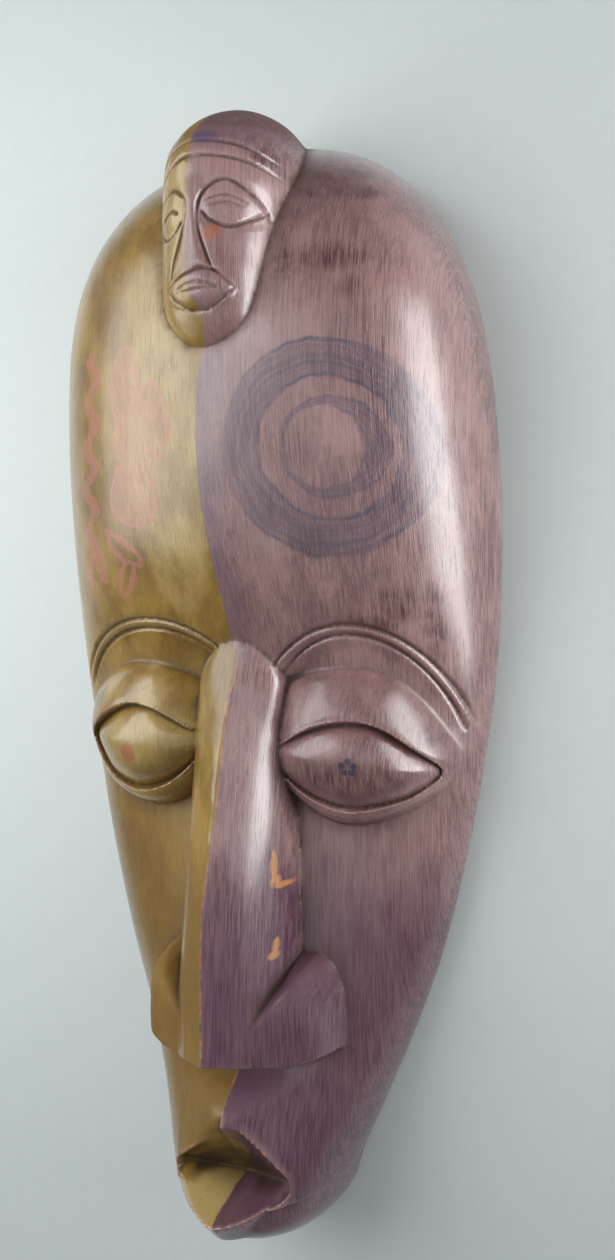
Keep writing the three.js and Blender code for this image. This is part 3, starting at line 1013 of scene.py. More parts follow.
@dataclass
class CarvedMask:
    """The whole mask, carved from one block."""

    shell: Shell = Shell()
    hollow: Hollow = Hollow()
    brows: tuple[Brow, ...] = (
        Brow(Side.RIGHT, 104.0, -96.0, 108.0, 155.0),
        Brow(Side.LEFT, 92.0, -47.0, 115.0, 110.0),
    )
    eyes: tuple[Eye, ...] = (
        Eye(Side.RIGHT, RIGHT_LIDS, RIGHT_OPENING),
        Eye(Side.LEFT, LEFT_LIDS, LEFT_OPENING),
    )
    nose: Nose = Nose()
    mouth: Mouth = Mouth()
    head: SmallHead = SmallHead()
    most_faces: int = 190_000
    shell_scale: float = 150.0
    lines: tuple[Numbers, Numbers, Numbers] = field(init=False)
    face: Relief = field(init=False)
    crown: Relief = field(init=False)

    def __post_init__(self) -> None:
        """Lays out the grid lines."""
        self.lines = (
            spaced_lines((-222, -70, 1.9), (-70, 70, 1.15), (70, 222, 1.9)),
            spaced_lines(
                (-518, -492, 1.9), (-492, -235, 1.5), (-235, -125, 2.3), (-125, 65, 1.5),
                (65, 285, 2.5), (285, 455, 1.2), (455, 518, 1.8),
            ),
            spaced_lines((-4, 60, 2.2), (60, 150, 1.7), (150, 203, 1.2)),
        )

    def carve(self) -> None:
        """Carves the big face and the small one as two height maps."""
        xs, ys, _ = self.lines
        x, y = np.meshgrid(xs, ys, indexing="ij")
        self.face = Relief(xs, ys, self.shell.height(x, y))
        for feature in (*self.brows, *self.eyes, self.nose, self.mouth):
            feature.carve(self.face)
        self.crown = Relief(xs, ys, self.head.ground(x, y))
        self.head.carve(self.crown)

    def wood(self) -> npt.NDArray[np.float32]:
        """Measures on the whole grid how far outside the wood each point is.

        Returns:
            The field, negative inside the wood.
        """
        xs, ys, zs = (line.astype(np.float32) for line in self.lines)
        x, y, z = xs[:, None, None], ys[None, :, None], zs[None, None, :]
        added = (self.face.height - self.face.ground).astype(np.float32)[:, :, None]
        body = self.shell_scale * self.shell.outside(x, y, np.clip(z - added, 0.0, None)).astype(np.float32)
        added = (self.crown.height - self.crown.ground).astype(np.float32)[:, :, None]
        head = self.head.outside(x, y, z - added).astype(np.float32)
        head = np.maximum(head, self.head.foot - z)
        roof = self.hollow.roof(self.shell, self.face.x, self.face.y).astype(np.float32)[:, :, None]
        return np.maximum(np.minimum(body, head), roof - z).astype(np.float32)

    def build(self) -> bpy.types.Object:
        """Carves the mask and makes its mesh.

        Returns:
            The mask's object, in metres.
        """
        self.carve()
        vertices, quads = SurfaceNet(self.lines, self.wood()).mesh()
        mesh = bpy.data.meshes.new("carved_mask_fine")
        mesh.from_pydata((vertices * MM).tolist(), [], quads.tolist())
        mask = bpy.data.objects.new("mask_carving", mesh)
        bpy.context.scene.collection.objects.link(mask)
        shrink = mask.modifiers.new("fewer faces", "DECIMATE")
        shrink.ratio = min(1.0, self.most_faces / (2.0 * len(quads)))
        shrink.use_collapse_triangulate = True
        evaluated = mask.evaluated_get(bpy.context.evaluated_depsgraph_get())
        final = bpy.data.meshes.new_from_object(evaluated)
        mask.modifiers.clear()
        mask.data = final
        bpy.data.meshes.remove(mesh)
        final.shade_smooth()
        LOG.info("mask_carving: %d faces of %d quads", len(final.polygons), len(quads))
        return mask


Socket = bpy.types.NodeSocket
Colour = tuple[float, float, float]


@dataclass(frozen=True)
class Mottle:
    """Soft patches cut out of cloudy noise; they start and are full at two levels of the noise."""

    scale: float
    detail: float
    roughness: float
    start: float
    full: float


@dataclass(frozen=True)
class Stroke:
    """A painted line: its half width and the softness of its edges in millimetres, and its strength."""

    half_width: float
    softness: float
    strength: float


class Signal:
    """A value, vector or colour in a shader tree; values can be added, subtracted and multiplied."""

    def __init__(self, bench: "NodeBench", socket: Socket) -> None:
        """Keeps the signal's tree and socket."""
        self.bench = bench
        self.socket = socket

    def __add__(self, other: "Signal | float") -> "Signal":
        """The sum of two values."""
        return self.bench.math("ADD", self, other)

    def __sub__(self, other: "Signal | float") -> "Signal":
        """The difference of two values."""
        return self.bench.math("SUBTRACT", self, other)

    def __rsub__(self, other: float) -> "Signal":
        """The difference of a number and this value."""
        return self.bench.math("SUBTRACT", other, self)

    def __mul__(self, other: "Signal | float") -> "Signal":
        """The product of two values."""
        return self.bench.math("MULTIPLY", self, other)


Given = Signal | float | Point
Inputs = dict[str | int, Given]


class NodeBench:
    """Adds nodes to one tree and joins them, with short calls for the common kinds."""

    def __init__(self, tree: bpy.types.NodeTree) -> None:
        """Keeps the tree that the nodes go into."""
        self.tree = tree

    def give(self, target: Socket, value: Given) -> None:
        """Joins a signal to an input, or sets the input to a constant.

        Args:
            target: The input.
            value: The signal or the constant; a colour comes without its alpha.
        """
        if isinstance(value, Signal):
            self.tree.links.new(value.socket, target)
        else:
            target.default_value = (*value, 1.0) if target.type == "RGBA" else value

    def add(self, kind: str, inputs: Inputs, **settings: object) -> bpy.types.Node:
        """Adds one node.

        Args:
            kind: The node's type name.
            inputs: A constant or a signal for each named or numbered input.
            settings: Values of the node's own properties.

        Returns:
            The new node.
        """
        node = self.tree.nodes.new(kind)
        for name, value in settings.items():
            setattr(node, name, value)
        for name, value in inputs.items():
            self.give(node.inputs[name], value)
        return node

    def put(self, kind: str, output: str | int, inputs: Inputs, **settings: object) -> Signal:
        """Adds one node and reads one of its outputs."""
        return Signal(self, self.add(kind, inputs, **settings).outputs[output])

    def math(self, operation: str, *values: Signal | float, clamp: bool = False) -> Signal:
        """One step of arithmetic."""
        return self.put("ShaderNodeMath", 0, dict(enumerate(values)), operation=operation, use_clamp=clamp)

    def higher(self, first: Signal, second: Signal | float) -> Signal:
        """The higher of two values."""
        return self.math("MAXIMUM", first, second)

    def vector(self, operation: str, *values: Signal | Point) -> Signal:
        """One step of vector arithmetic."""
        output = "Value" if operation == "LENGTH" else "Vector"
        return self.put("ShaderNodeVectorMath", output, dict(enumerate(values)), operation=operation)

    def ramp(self, value: Signal, low: Signal | float, high: Signal | float) -> Signal:
        """A soft switch from 0 at low to 1 at high; high may be the smaller one."""
        inputs = {"Value": value, "From Min": low, "From Max": high}
        return self.put("ShaderNodeMapRange", "Result", inputs, interpolation_type="SMOOTHSTEP")

    def mix(self, share: Signal, under: Colour | Signal, over: Colour | Signal) -> Signal:
        """One colour laid over another."""
        return self.put("ShaderNodeMix", 2, {"Factor": share, 6: under, 7: over}, data_type="RGBA")

    def noise(self, place: Signal, scale: float, detail: float = 2.0, roughness: float = 0.5) -> Signal:
        """Cloudy noise, from 0 to 1 around a half."""
        inputs = {"Vector": place, "Scale": scale, "Detail": detail, "Roughness": roughness}
        return self.put("ShaderNodeTexNoise", "Fac", inputs)

    def mottle(self, place: Signal, mottle: Mottle, stretch: Signal | Point | None = None) -> Signal:
        """Soft patches, which may have a scale of their own along each axis."""
        if stretch is not None:
            place = self.vector("MULTIPLY", place, stretch)
        cloud = self.noise(place, mottle.scale, mottle.detail, mottle.roughness)
        return self.ramp(cloud, mottle.start, mottle.full)

    def attribute(self, name: str) -> Signal:
        """A measure that the mesh carries."""
        return self.put("ShaderNodeAttribute", "Fac", {}, attribute_name=name)

    def object_place(self) -> Signal:
        """The point on the mask, in metres."""
        return self.put("ShaderNodeTexCoord", "Object", {})

    def axes(self, place: Signal) -> list[Signal]:
        """A point's three coordinates."""
        return [Signal(self, socket) for socket in self.add("ShaderNodeSeparateXYZ", {0: place}).outputs]

    def effect(self, group: bpy.types.NodeTree, inputs: Inputs) -> dict[str, Signal]:
        """Places a node group with its own values, and reads all its outputs."""
        node = self.add("ShaderNodeGroup", inputs, node_tree=group)
        return {socket.name: Signal(self, socket) for socket in node.outputs}

    def bump(self, height: Signal, strength: float, distance: float) -> Signal:
        """A very fine relief that only the light sees."""
        inputs = {"Strength": strength, "Distance": distance, "Height": height}
        return self.put("ShaderNodeBump", 0, inputs)


class EffectGroup:
    """Starts a shader node group with named inputs and outputs."""

    def __init__(self, name: str, inputs: dict[str, float | Point], outputs: tuple[str, ...]) -> None:
        """Makes the group's sockets.

        Args:
            name: The group's name.
            inputs: The default value of each input; a tuple makes a vector input.
            outputs: The names of the outputs, all of them values.
        """
        self.tree = bpy.data.node_groups.new(name, "ShaderNodeTree")
        for key, value in inputs.items():
            kind = "NodeSocketVector" if isinstance(value, tuple) else "NodeSocketFloat"
            self.tree.interface.new_socket(key, in_out="INPUT", socket_type=kind).default_value = value
        for key in outputs:
            self.tree.interface.new_socket(key, in_out="OUTPUT", socket_type="NodeSocketFloat")
        self.bench = NodeBench(self.tree)
        entry = self.tree.nodes.new("NodeGroupInput").outputs
        self.given = {key: Signal(self.bench, entry[key]) for key in inputs}
        self.outputs = self.tree.nodes.new("NodeGroupOutput").inputs

    def send(self, **values: Signal) -> None:
        """Joins each value to the group's output of that name."""
        for name, value in values.items():
            self.bench.give(self.outputs[name], value)


@dataclass
class Effects:
    """The effects that the finishes share, each built once as a node group."""

    bends_per_metre: float = 3.0
    bend: float = 0.012
    streak_height: float = 0.15
    streaks: Mottle = Mottle(1.0, 3.0, 0.7, 0.36, 0.68)
    pores_per_metre: Point = (1100.0, 40.0, 160.0)
    pores: Mottle = Mottle(1.0, 1.0, 0.5, 0.60, 0.76)
    figure_per_metre: Point = (26.0, 3.5, 26.0)
    figure: Mottle = Mottle(1.0, 3.0, 0.6, 0.33, 0.68)
    end_fade: float = 0.75
    end_tone: float = 0.3
    rub_patches: Mottle = Mottle(34.0, 5.0, 0.7, 0.48, 0.75)
    rub_level: float = 1.45
    rub_softness: float = 0.2
    lightened_edge: Point = (0.25, 1.1)
    dirt_scale: float = 60.0
    dirt_detail: float = 3.0
    dirt_least: float = 0.55
    grain: bpy.types.NodeTree = field(init=False)
    handling: bpy.types.NodeTree = field(init=False)
    oval: bpy.types.NodeTree = field(init=False)

    def __post_init__(self) -> None:
        """Builds the groups."""
        self.grain = self._grain()
        self.handling = self._handling()
        self.oval = self._oval()

    def _grain(self) -> bpy.types.NodeTree:
        """Builds the grain along the mask: fine streaks that fade on end grain, pores and broad figure.

        Returns:
            The node group.
        """
        sizes = {"Streaks Per Metre": 1000.0, "Stretch": 0.02}
        group = EffectGroup("wood grain", sizes, ("Streak", "Pore", "Figure"))
        bench, across = group.bench, group.given["Streaks Per Metre"]
        place = bench.object_place()
        swirl = {"Vector": place, "Scale": self.bends_per_metre}
        swirl = bench.put("ShaderNodeTexNoise", "Color", swirl)
        bend = bench.put("ShaderNodeVectorMath", "Vector", {0: swirl, "Scale": self.bend}, operation="SCALE")
        bent = bench.vector("ADD", place, bend)
        scales = {0: across, 1: across * group.given["Stretch"], 2: across * self.streak_height}
        streak = bench.mottle(bent, self.streaks, bench.put("ShaderNodeCombineXYZ", 0, scales))
        ends = bench.attribute("end grain")
        group.send(
            Streak=streak * (1.0 - ends * self.end_fade) + ends * self.end_tone,
            Pore=bench.mottle(bent, self.pores, self.pores_per_metre),
            Figure=bench.mottle(bent, self.figure, self.figure_per_metre),
        )
        return group.tree

    def _handling(self) -> bpy.types.NodeTree:
        """Builds what years of handling do: paint rubbed off the edges, and dirt left in the hollows.

        Returns:
            The node group.
        """
        group = EffectGroup("handling marks", {"Wear": 0.5, "Dirt": 0.5}, ("Rubbed", "Lightened", "Dirty"))
        bench, given = group.bench, group.given
        place = bench.object_place()
        edge = bench.attribute("edge")
        needed = self.rub_level - given["Wear"] * bench.mottle(place, self.rub_patches)
        left = bench.noise(place, self.dirt_scale, self.dirt_detail) + self.dirt_least
        soft = bench.attribute("cavity") * left
        group.send(
            Rubbed=bench.ramp(edge, needed - self.rub_softness, needed),
            Lightened=bench.ramp(edge, *self.lightened_edge),
            Dirty=bench.math("MULTIPLY", soft, given["Dirt"], clamp=True),
        )
        return group.tree

    @staticmethod
    def _oval() -> bpy.types.NodeTree:
        """Builds a hand-painted oval: how far a point is outside its outline, and how far out it lies.

        Returns:
            The node group.
        """
        middle = (0.0, 0.0, 0.0)
        sizes = {"Place": middle, "Centre": middle, "Radii": (0.05, 0.05, 1.0), "Turn": 0.0}
        group = EffectGroup("painted oval", sizes, ("Gap", "Reach"))
        bench, given = group.bench, group.given
        away = bench.vector("SUBTRACT", given["Place"], given["Centre"])
        away = bench.vector("MULTIPLY", away, (1.0, 1.0, 0.0))
        turn = {"Vector": away, "Angle": given["Turn"]}
        turned = bench.put("ShaderNodeVectorRotate", 0, turn, rotation_type="Z_AXIS")
        reach = bench.vector("LENGTH", bench.vector("DIVIDE", turned, given["Radii"]))
        radius = bench.math("DIVIDE", bench.vector("LENGTH", away), bench.higher(reach, 0.001))
        group.send(Gap=(reach - 1.0) * radius, Reach=reach)
        return group.tree


@dataclass(frozen=True)
class Oval:
    """One painted oval, in millimetres and degrees."""

    x: float
    y: float
    radius_x: float
    radius_y: float
    turn: float = 0.0


@dataclass(frozen=True)
class Patch:
    """A soft-edged patch made of ovals; it starts and is full at distances outside them, in millimetres."""

    start: float
    full: float
    strength: float
    ovals: tuple[Oval, ...]


class Painter:
    """Paints one material: its nodes, the shared effects and the points on the mask."""

    def __init__(self, name: str, effects: Effects | None = None) -> None:
        """Starts the material.

        Args:
            name: The material's name.
            effects: The shared effects, for a material that needs any.
        """
        self.material = bpy.data.materials.new(name)
        self.material.use_nodes = True
        self.bench = NodeBench(self.material.node_tree)
        self.effects = effects
        self.place = self.bench.object_place()

    def oval(self, oval: Oval, place: Signal) -> dict[str, Signal]:
        """Places one oval.

        Args:
            oval: The oval.
            place: The point on the mask.

        Returns:
            How far the point is outside the outline, as Gap, and how far out it lies, as Reach.
        """
        inputs = {
            "Place": place,
            "Centre": (oval.x * MM, oval.y * MM, 0.0),
            "Radii": (oval.radius_x * MM, oval.radius_y * MM, 1.0),
            "Turn": math.radians(oval.turn),
        }
        return self.bench.effect(self.effects.oval, inputs)

    def gap(self, ovals: tuple[Oval, ...], place: Signal) -> Signal:
        """Measures the distance to the outline of several ovals painted as one shape.

        Args:
            ovals: The ovals.
            place: The point on the mask.

        Returns:
            The distance in metres, negative inside.
        """
        whole = self.oval(ovals[0], place)["Gap"]
        for oval in ovals[1:]:
            whole = self.bench.math("MINIMUM", whole, self.oval(oval, place)["Gap"])
        return whole

    def fade(self, gap: Signal, edge: Point) -> Signal:
        """A soft edge that starts at one distance and is full at another, in millimetres."""
        start, full = edge
        return self.bench.ramp(gap, start * MM, full * MM)

    def line(self, gap: Signal, stroke: Stroke) -> Signal:
        """How much of a stroke along a shape's outline lies on a point, before its strength."""
        outer, inner = stroke.half_width + stroke.softness, stroke.half_width - stroke.softness
        return self.fade(self.bench.math("ABSOLUTE", gap), (outer, inner))

    def cover(self, patch: Patch, place: Signal) -> Signal:
        """How much of a patch lies on a point, before its strength."""
        return self.fade(self.gap(patch.ovals, place), (patch.start, patch.full))

    def lay(
        self, under: Signal, colour: Colour, patch: Patch, place: Signal, fade: Signal | None = None
    ) -> Signal:
        """Lays a patch of colour over what is there.

        Args:
            under: The colour so far.
            colour: The patch's colour.
            patch: The patch.
            place: The point on the mask.
            fade: What thins the patch from place to place.

        Returns:
            The new colour.
        """
        share = self.cover(patch, place)
        if fade is not None:
            share = share * fade
        return self.bench.mix(share * patch.strength, under, colour)

    def finish(self, inputs: Inputs) -> bpy.types.Material:
        """Sends signals and constants to the material's shader.

        Args:
            inputs: A constant or a signal for each named input.

        Returns:
            The finished material.
        """
        shader = self.material.node_tree.nodes["Principled BSDF"]
        for name, value in inputs.items():
            self.bench.give(shader.inputs[name], value)
        return self.material


@dataclass(frozen=True)
class StainedWood:
    """The face's finish: two water stains that meet along a line, brush marks, and a rubbed varnish."""

    border: tuple[Point, ...] = (
        (-512, 0), (-465, 0), (-459, -4), (-455, -2), (-449, 12), (-406, 12), (-398, -1), (-376, 0),
        (-257, 0), (-192, -3), (-142, 0), (-109, 2), (-76, 3), (-42, 2), (-9, 1), (17, 4), (36, 2),
        (43, -3), (79, -5), (114, -8), (147, -11), (180, -12), (213, -11), (245, -8), (278, -3),
        (290, 2), (310, 6), (320, 2), (351, -3), (415, -2), (512, -1),
    )
    border_reach: float = 50.0
    border_half: float = 520.0
    ochre_deep: Colour = (0.165, 0.088, 0.012)
    ochre_light: Colour = (0.300, 0.188, 0.034)
    # The colour of thinly stained ochre, also used for the painted highlight on the lower lip.
    ochre_thin_and_lit: Colour = (0.390, 0.285, 0.110)
    plum_deep: Colour = (0.118, 0.056, 0.062)
    plum_light: Colour = (0.240, 0.142, 0.140)
    plum_low: Colour = (0.064, 0.022, 0.052)
    plum_grain: Colour = (0.400, 0.245, 0.215)
    plum_seam: Colour = (0.100, 0.070, 0.110)
    # The colour of the painted sheen down the nose.
    plum_sheen: Colour = (0.330, 0.250, 0.255)
    maroon: Colour = (0.050, 0.010, 0.016)
    rust: Colour = (0.300, 0.080, 0.025)
    ink: Colour = (0.055, 0.030, 0.110)
    bare_wood: Colour = (0.480, 0.210, 0.075)
    dirt: Colour = (0.040, 0.020, 0.010)
    ring_blue: Colour = (0.038, 0.034, 0.068)
    loop_pink: Colour = (0.400, 0.140, 0.110)
    pupil_red: Colour = (0.300, 0.075, 0.045)
    pupil_blue: Colour = (0.018, 0.018, 0.045)
    rings: tuple[tuple[Oval, Oval], ...] = (
        (Oval(100, 203, 87, 88), Oval(102, 203, 55, 55)),
        (Oval(107, 203, 43, 42), Oval(99, 203, 30, 33)),
    )
    loops: tuple[Oval, ...] = (
        Oval(-81, 262, 16, 35, 8), Oval(-50, 232, 13, 32, -4), Oval(-74, 216, 21, 30),
        Oval(-82, 170, 26, 27), Oval(-72, 200, 11, 44, -6),
    )
    ribbons: tuple[Oval, ...] = (
        Oval(-104, 126, 7, 24, -52), Oval(-104, 99, 7, 19, 28), Oval(-140, 118, 5, 20, -12),
    )
    squiggle: Point = (-118.0, 290.0, 98.0, 0.19, 7.0, 38.0)
    blotches: Patch = Patch(
        9.0, -7.0, 0.9,
        (
            Oval(104, 356, 26, 10), Oval(146, 75, 16, 13), Oval(84, 125, 15, 10), Oval(70, 350, 12, 14),
            Oval(118, 331, 9, 6), Oval(82, 440, 42, 15), Oval(104, 418, 34, 9), Oval(176, 60, 9, 34),
            Oval(150, -40, 26, 14), Oval(120, 60, 26, 8), Oval(112, -78, 40, 12), Oval(22, 480, 46, 16),
        ),
    )
    worn_spots: Patch = Patch(
        1.5, -1.0, 0.85,
        (
            Oval(42.6, -152, 1.5, 13), Oval(43.6, -166, 2.4, 5.5), Oval(47.0, -171, 3.4, 2.4),
            Oval(45.2, -229, 2.4, 3.6), Oval(45.8, -222, 1.2, 7),
        ),
    )
    dark_ball: Patch = Patch(8.0, -8.0, 0.62, (Oval(104, -72, 40, 17),))
    # Darker plum on the lower nose, the right wing, around the mouth and on the small head's top: partly a
    # deeper stain, partly painted shade under the nose and around the mouth.
    thick_stain_and_shade: Patch = Patch(
        6.0, -5.0, 0.6,
        (Oval(24, -266, 34, 146), Oval(62, -292, 34, 40), Oval(40, -400, 70, 60), Oval(24, 470, 44, 30)),
    )
    rust_smudge: Patch = Patch(4.0, -4.0, 0.75, (Oval(17, 373, 7, 5, -30),))
    ink_smudge: Patch = Patch(4.0, -4.0, 0.6, (Oval(10, 452, 11, 6, 10),))
    red_pupil: Patch = Patch(1.5, -1.5, 0.55, (Oval(-108, -63, 8.5, 8.5),))
    petals: Patch = Patch(
        0.8, -0.8, 0.8,
        tuple(Oval(x, y, 3, 3) for x, y in ((109, -57), (104, -61), (106, -67), (112, -67), (114, -61))),
    )
    # Thinly stained places; the first oval is a painted highlight on the lower lip's left facet, which
    # catches the light.
    thin_stain_and_lit_lip: Patch = Patch(
        14.0, -12.0, 0.55,
        (
            Oval(-24, -457, 30, 10), Oval(-44, 195, 40, 125), Oval(-108, -4, 42, 13), Oval(-26, 395, 20, 50),
            Oval(-95, -50, 44, 26),
        ),
    )
    # A painted highlight on the lower lip's left facet, where the light falls.
    lit_lip_highlight: Patch = Patch(3.0, -6.0, 1.0, (Oval(-24, -460, 34, 14),))
    # A painted sheen down the front of the nose.
    painted_nose_sheen: Patch = Patch(12.0, -14.0, 0.34, (Oval(22, -80, 19, 84, -3),))
    dull_spots: Patch = Patch(
        8.0, -8.0, 0.45,
        (
            Oval(-10, -354, 56, 22), Oval(36, -276, 22, 24), Oval(-58, -285, 32, 46), Oval(74, -262, 20, 18),
            Oval(98, -78, 40, 22), Oval(22, 470, 40, 34), Oval(-14, -190, 16, 150), Oval(-64, -262, 30, 30),
        ),
    )
    # Painted shade: dark patches deep in the mouth and under the upper lip's roof, where shade falls.
    mouth_shade: Patch = Patch(5.0, -6.0, 0.92, (Oval(30, -446, 32, 11, 22),))
    roof_shade: Patch = Patch(1.0, -7.0, 0.8, (Oval(-16, -431, 34, 13, -30), Oval(12, -434, 18, 20, 30)))
    roughness: float = 0.23
    rough_grain: float = 0.13
    gloss: float = 0.44
    coat: float = 0.75
    coat_roughness: float = 0.21
    brush_hairs: float = 22.0
    brush_drift: Point = (9.0, 9.0, 0.0)
    hair_streaks: Mottle = Mottle(1.0, 3.0, 0.7, 0.30, 0.70)
    ring_edge: Point = (1.2, -1.5)
    ring_body: float = 0.20
    ring_streaks: float = 0.50
    ring_breaks: Mottle = Mottle(16.0, 4.0, 0.7, 0.42, 0.60)
    ring_rim: Stroke = Stroke(1.6, 1.4, 0.52)
    ring_rim_inset: float = 2.2
    ring_rim_least: float = 0.30
    loop_rim: Stroke = Stroke(1.4, 1.1, 0.78)
    loop_crossing: Stroke = Stroke(0.6, 0.8, 0.60)
    loop_edge: Point = (1.0, -1.5)
    loop_fill: Point = (40.0, 3.0, 0.36, 0.10)
    ribbon_rim: Stroke = Stroke(4.2, 1.6, 0.55)
    squiggle_edge: Point = (9.5, 5.0)
    squiggle_strength: float = 0.50
    # Painted shade: the ochre darkens towards the chin, where the light falls off; where it starts and is
    # full, and how dark.
    ochre_shade_fall: Point = (-60.0, -240.0)
    ochre_shade_share: float = 0.70
    ochre_streaks: float = 0.20
    ochre_pores: float = 0.25
    plum_darkens: Point = (-100.0, -240.0)
    plum_low_share: float = 0.75
    plum_streaks: float = 0.42
    plum_low_streaks: float = 0.22
    plum_pores: float = 0.35
    blotch_breaks: Mottle = Mottle(70.0, 4.0, 0.7, 0.25, 0.6)
    lightened: float = 0.28
    dirty: float = 0.75
    worn_breaks: Mottle = Mottle(170.0, 3.0, 0.6, 0.24, 0.36)
    roof_heights: Point = (128.0, 118.0)
    mouth_heights: Point = (118.0, 96.0)
    wander_scale: float = 45.0
    wander_detail: float = 3.0
    shaky_hand: Point = (0.011, 0.011, 0.0)
    steady_hand: Point = (0.003, 0.006, 0.0)
    wear: float = 0.65
    dirt_share: float = 1.25
    cloud_stretch: Point = (1.5, 0.8, 1.0)
    clouds: Mottle = Mottle(13.0, 6.0, 0.68, 0.36, 0.66)
    thin_and_lit_least: float = 0.25
    border_edge: Point = (-0.7, 0.7)
    seam_edge: Point = (30.0, 4.0)
    seam_top: Point = (290.0, 270.0)
    seam_foot: Point = (20.0, 80.0)
    seam_share: float = 0.40
    ridge_rub: Stroke = Stroke(0.9, 0.9, 0.6)
    ridge_top: Point = (35.0, 0.0)
    ridge_breaks: Mottle = Mottle(80.0, 4.0, 0.7, 0.42, 0.62)
    uneven_stretch: Point = (1.0, 0.6, 1.0)
    uneven_scale: float = 34.0
    uneven_height: float = 5.0
    streak_height: float = 0.45
    bump_strength: float = 0.4
    bump_distance: float = 0.0005

    def _border(self, bench: NodeBench, place: Signal) -> Signal:
        """Measures the signed distance to the line where the two stains meet.

        Args:
            bench: The material's nodes.
            place: The point on the mask.

        Returns:
            The distance in metres; the plum half is positive.
        """
        x, y, _ = bench.axes(place)
        node = bench.add("ShaderNodeFloatCurve", {"Value": y * (0.5 / (self.border_half * MM)) + 0.5})
        points = node.mapping.curves[0].points
        spots = [
            (0.5 + along / (2 * self.border_half), 0.5 + across / (2 * self.border_reach))
            for along, across in self.border
        ]
        points[0].location, points[1].location = spots[0], spots[-1]
        for spot in spots[1:-1]:
            points.new(*spot)
        node.mapping.update()
        return x - (Signal(bench, node.outputs[0]) - 0.5) * (2 * self.border_reach * MM)

    def _ring(self, painter: Painter, place: Signal, ovals: tuple[Oval, Oval]) -> Signal:
        """Brushes a broad ring between two ovals, streaky along the brush's way and darker at its edges.

        Args:
            painter: The material's painter.
            place: The point on the mask.
            ovals: The ring's outer and inner outline.

        Returns:
            How much paint lies on the point.
        """
        bench = painter.bench
        outer, inner = (painter.oval(oval, place) for oval in ovals)
        gap = bench.higher(outer["Gap"], inner["Gap"] * -1.0)
        brush = bench.put("ShaderNodeCombineXYZ", 0, {0: outer["Reach"] * self.brush_hairs})
        brush = bench.vector("ADD", brush, bench.vector("MULTIPLY", place, self.brush_drift))
        streak = bench.mottle(brush, self.hair_streaks)
        body = painter.fade(gap, self.ring_edge) * (streak * self.ring_streaks + self.ring_body)
        rim = painter.line(gap + self.ring_rim_inset * MM, self.ring_rim)
        patchy = bench.mottle(place, self.ring_breaks)
        return bench.higher(body, rim * (patchy * self.ring_rim.strength + self.ring_rim_least))

    def _squiggle(self, bench: NodeBench, place: Signal) -> Signal:
        """Measures the distance to a wavy stroke that runs down the left temple.

        Args:
            bench: The material's nodes.
            place: The point on the mask.

        Returns:
            The distance in metres from the stroke's middle line.
        """
        start, top, foot, lean, swing, wave = self.squiggle
        x, y, _ = bench.axes(place)
        turn = bench.math("SINE", y * (2.0 * math.pi / (wave * MM)))
        middle = (top * MM - y) * -lean + start * MM + turn * (swing * MM)
        return bench.higher(bench.math("ABSOLUTE", x - middle), bench.higher(y - top * MM, foot * MM - y))

    def _ochre(self, painter: Painter, grain: dict[str, Signal], cloud: Signal, thin_and_lit: Signal) -> Signal:
        """Stains the ochre half, with its darker clouds, its thinly stained places, a painted highlight on
        the lower lip, painted shade towards the chin and fine grain.

        Args:
            painter: The material's painter.
            grain: The outputs of the grain effect.
            cloud: Where the stain is lighter.
            thin_and_lit: Where the stain is thinly laid, and where a painted highlight lightens the lower
                lip.

        Returns:
            The colour.
        """
        bench = painter.bench
        # Painted shade: darker towards the chin, where the light falls off.
        low = painter.fade(bench.axes(painter.place)[1], self.ochre_shade_fall)
        tone = bench.mix(cloud, self.ochre_deep, self.ochre_light)
        tone = bench.mix(low * self.ochre_shade_share, tone, self.ochre_deep)
        tone = bench.mix(thin_and_lit, tone, self.ochre_thin_and_lit)
        tone = bench.mix(grain["Streak"] * self.ochre_streaks, tone, self.ochre_deep)
        return bench.mix(grain["Pore"] * self.ochre_pores, tone, self.dirt)

    def _pink_marks(self, painter: Painter, place: Signal, under: Signal) -> Signal:
        """Brushes the thin pink marks on the left temple, and the red pupil.

        Args:
            painter: The material's painter.
            place: The point on the mask.
            under: The colour so far.

        Returns:
            The new colour.
        """
        bench = painter.bench
        scale, detail, more, least = self.loop_fill
        fill = bench.noise(place, scale, detail) * more + least
        outline = painter.gap(self.loops, place)
        paint = painter.line(outline, self.loop_rim) * self.loop_rim.strength
        for oval in self.loops:
            crossing = painter.line(painter.oval(oval, place)["Gap"], self.loop_crossing)
            paint = bench.higher(paint, crossing * self.loop_crossing.strength)
        ribbon = painter.line(painter.gap(self.ribbons, place), self.ribbon_rim)
        paint = bench.higher(paint, ribbon * self.ribbon_rim.strength)
        wave = painter.fade(self._squiggle(bench, place), self.squiggle_edge)
        paint = bench.higher(paint, wave * self.squiggle_strength)
        paint = bench.higher(painter.fade(outline, self.loop_edge) * fill, paint)
        return painter.lay(bench.mix(paint, under, self.loop_pink), self.pupil_red, self.red_pupil, place)

    def _plum(self, painter: Painter, grain: dict[str, Signal], cloud: Signal) -> Signal:
        """Stains the plum half: more violet low on the face, blotched, with pinkish grain showing through,
        painted shade under the nose and around the mouth, and a painted sheen down the nose.

        Args:
            painter: The material's painter.
            grain: The outputs of the grain effect.
            cloud: Where the stain is lighter.

        Returns:
            The colour.
        """
        bench, place = painter.bench, painter.place
        low = painter.fade(bench.axes(place)[1], self.plum_darkens)
        tone = bench.mix(cloud, self.plum_deep, self.plum_light)
        tone = bench.mix(low * self.plum_low_share, tone, self.plum_low)
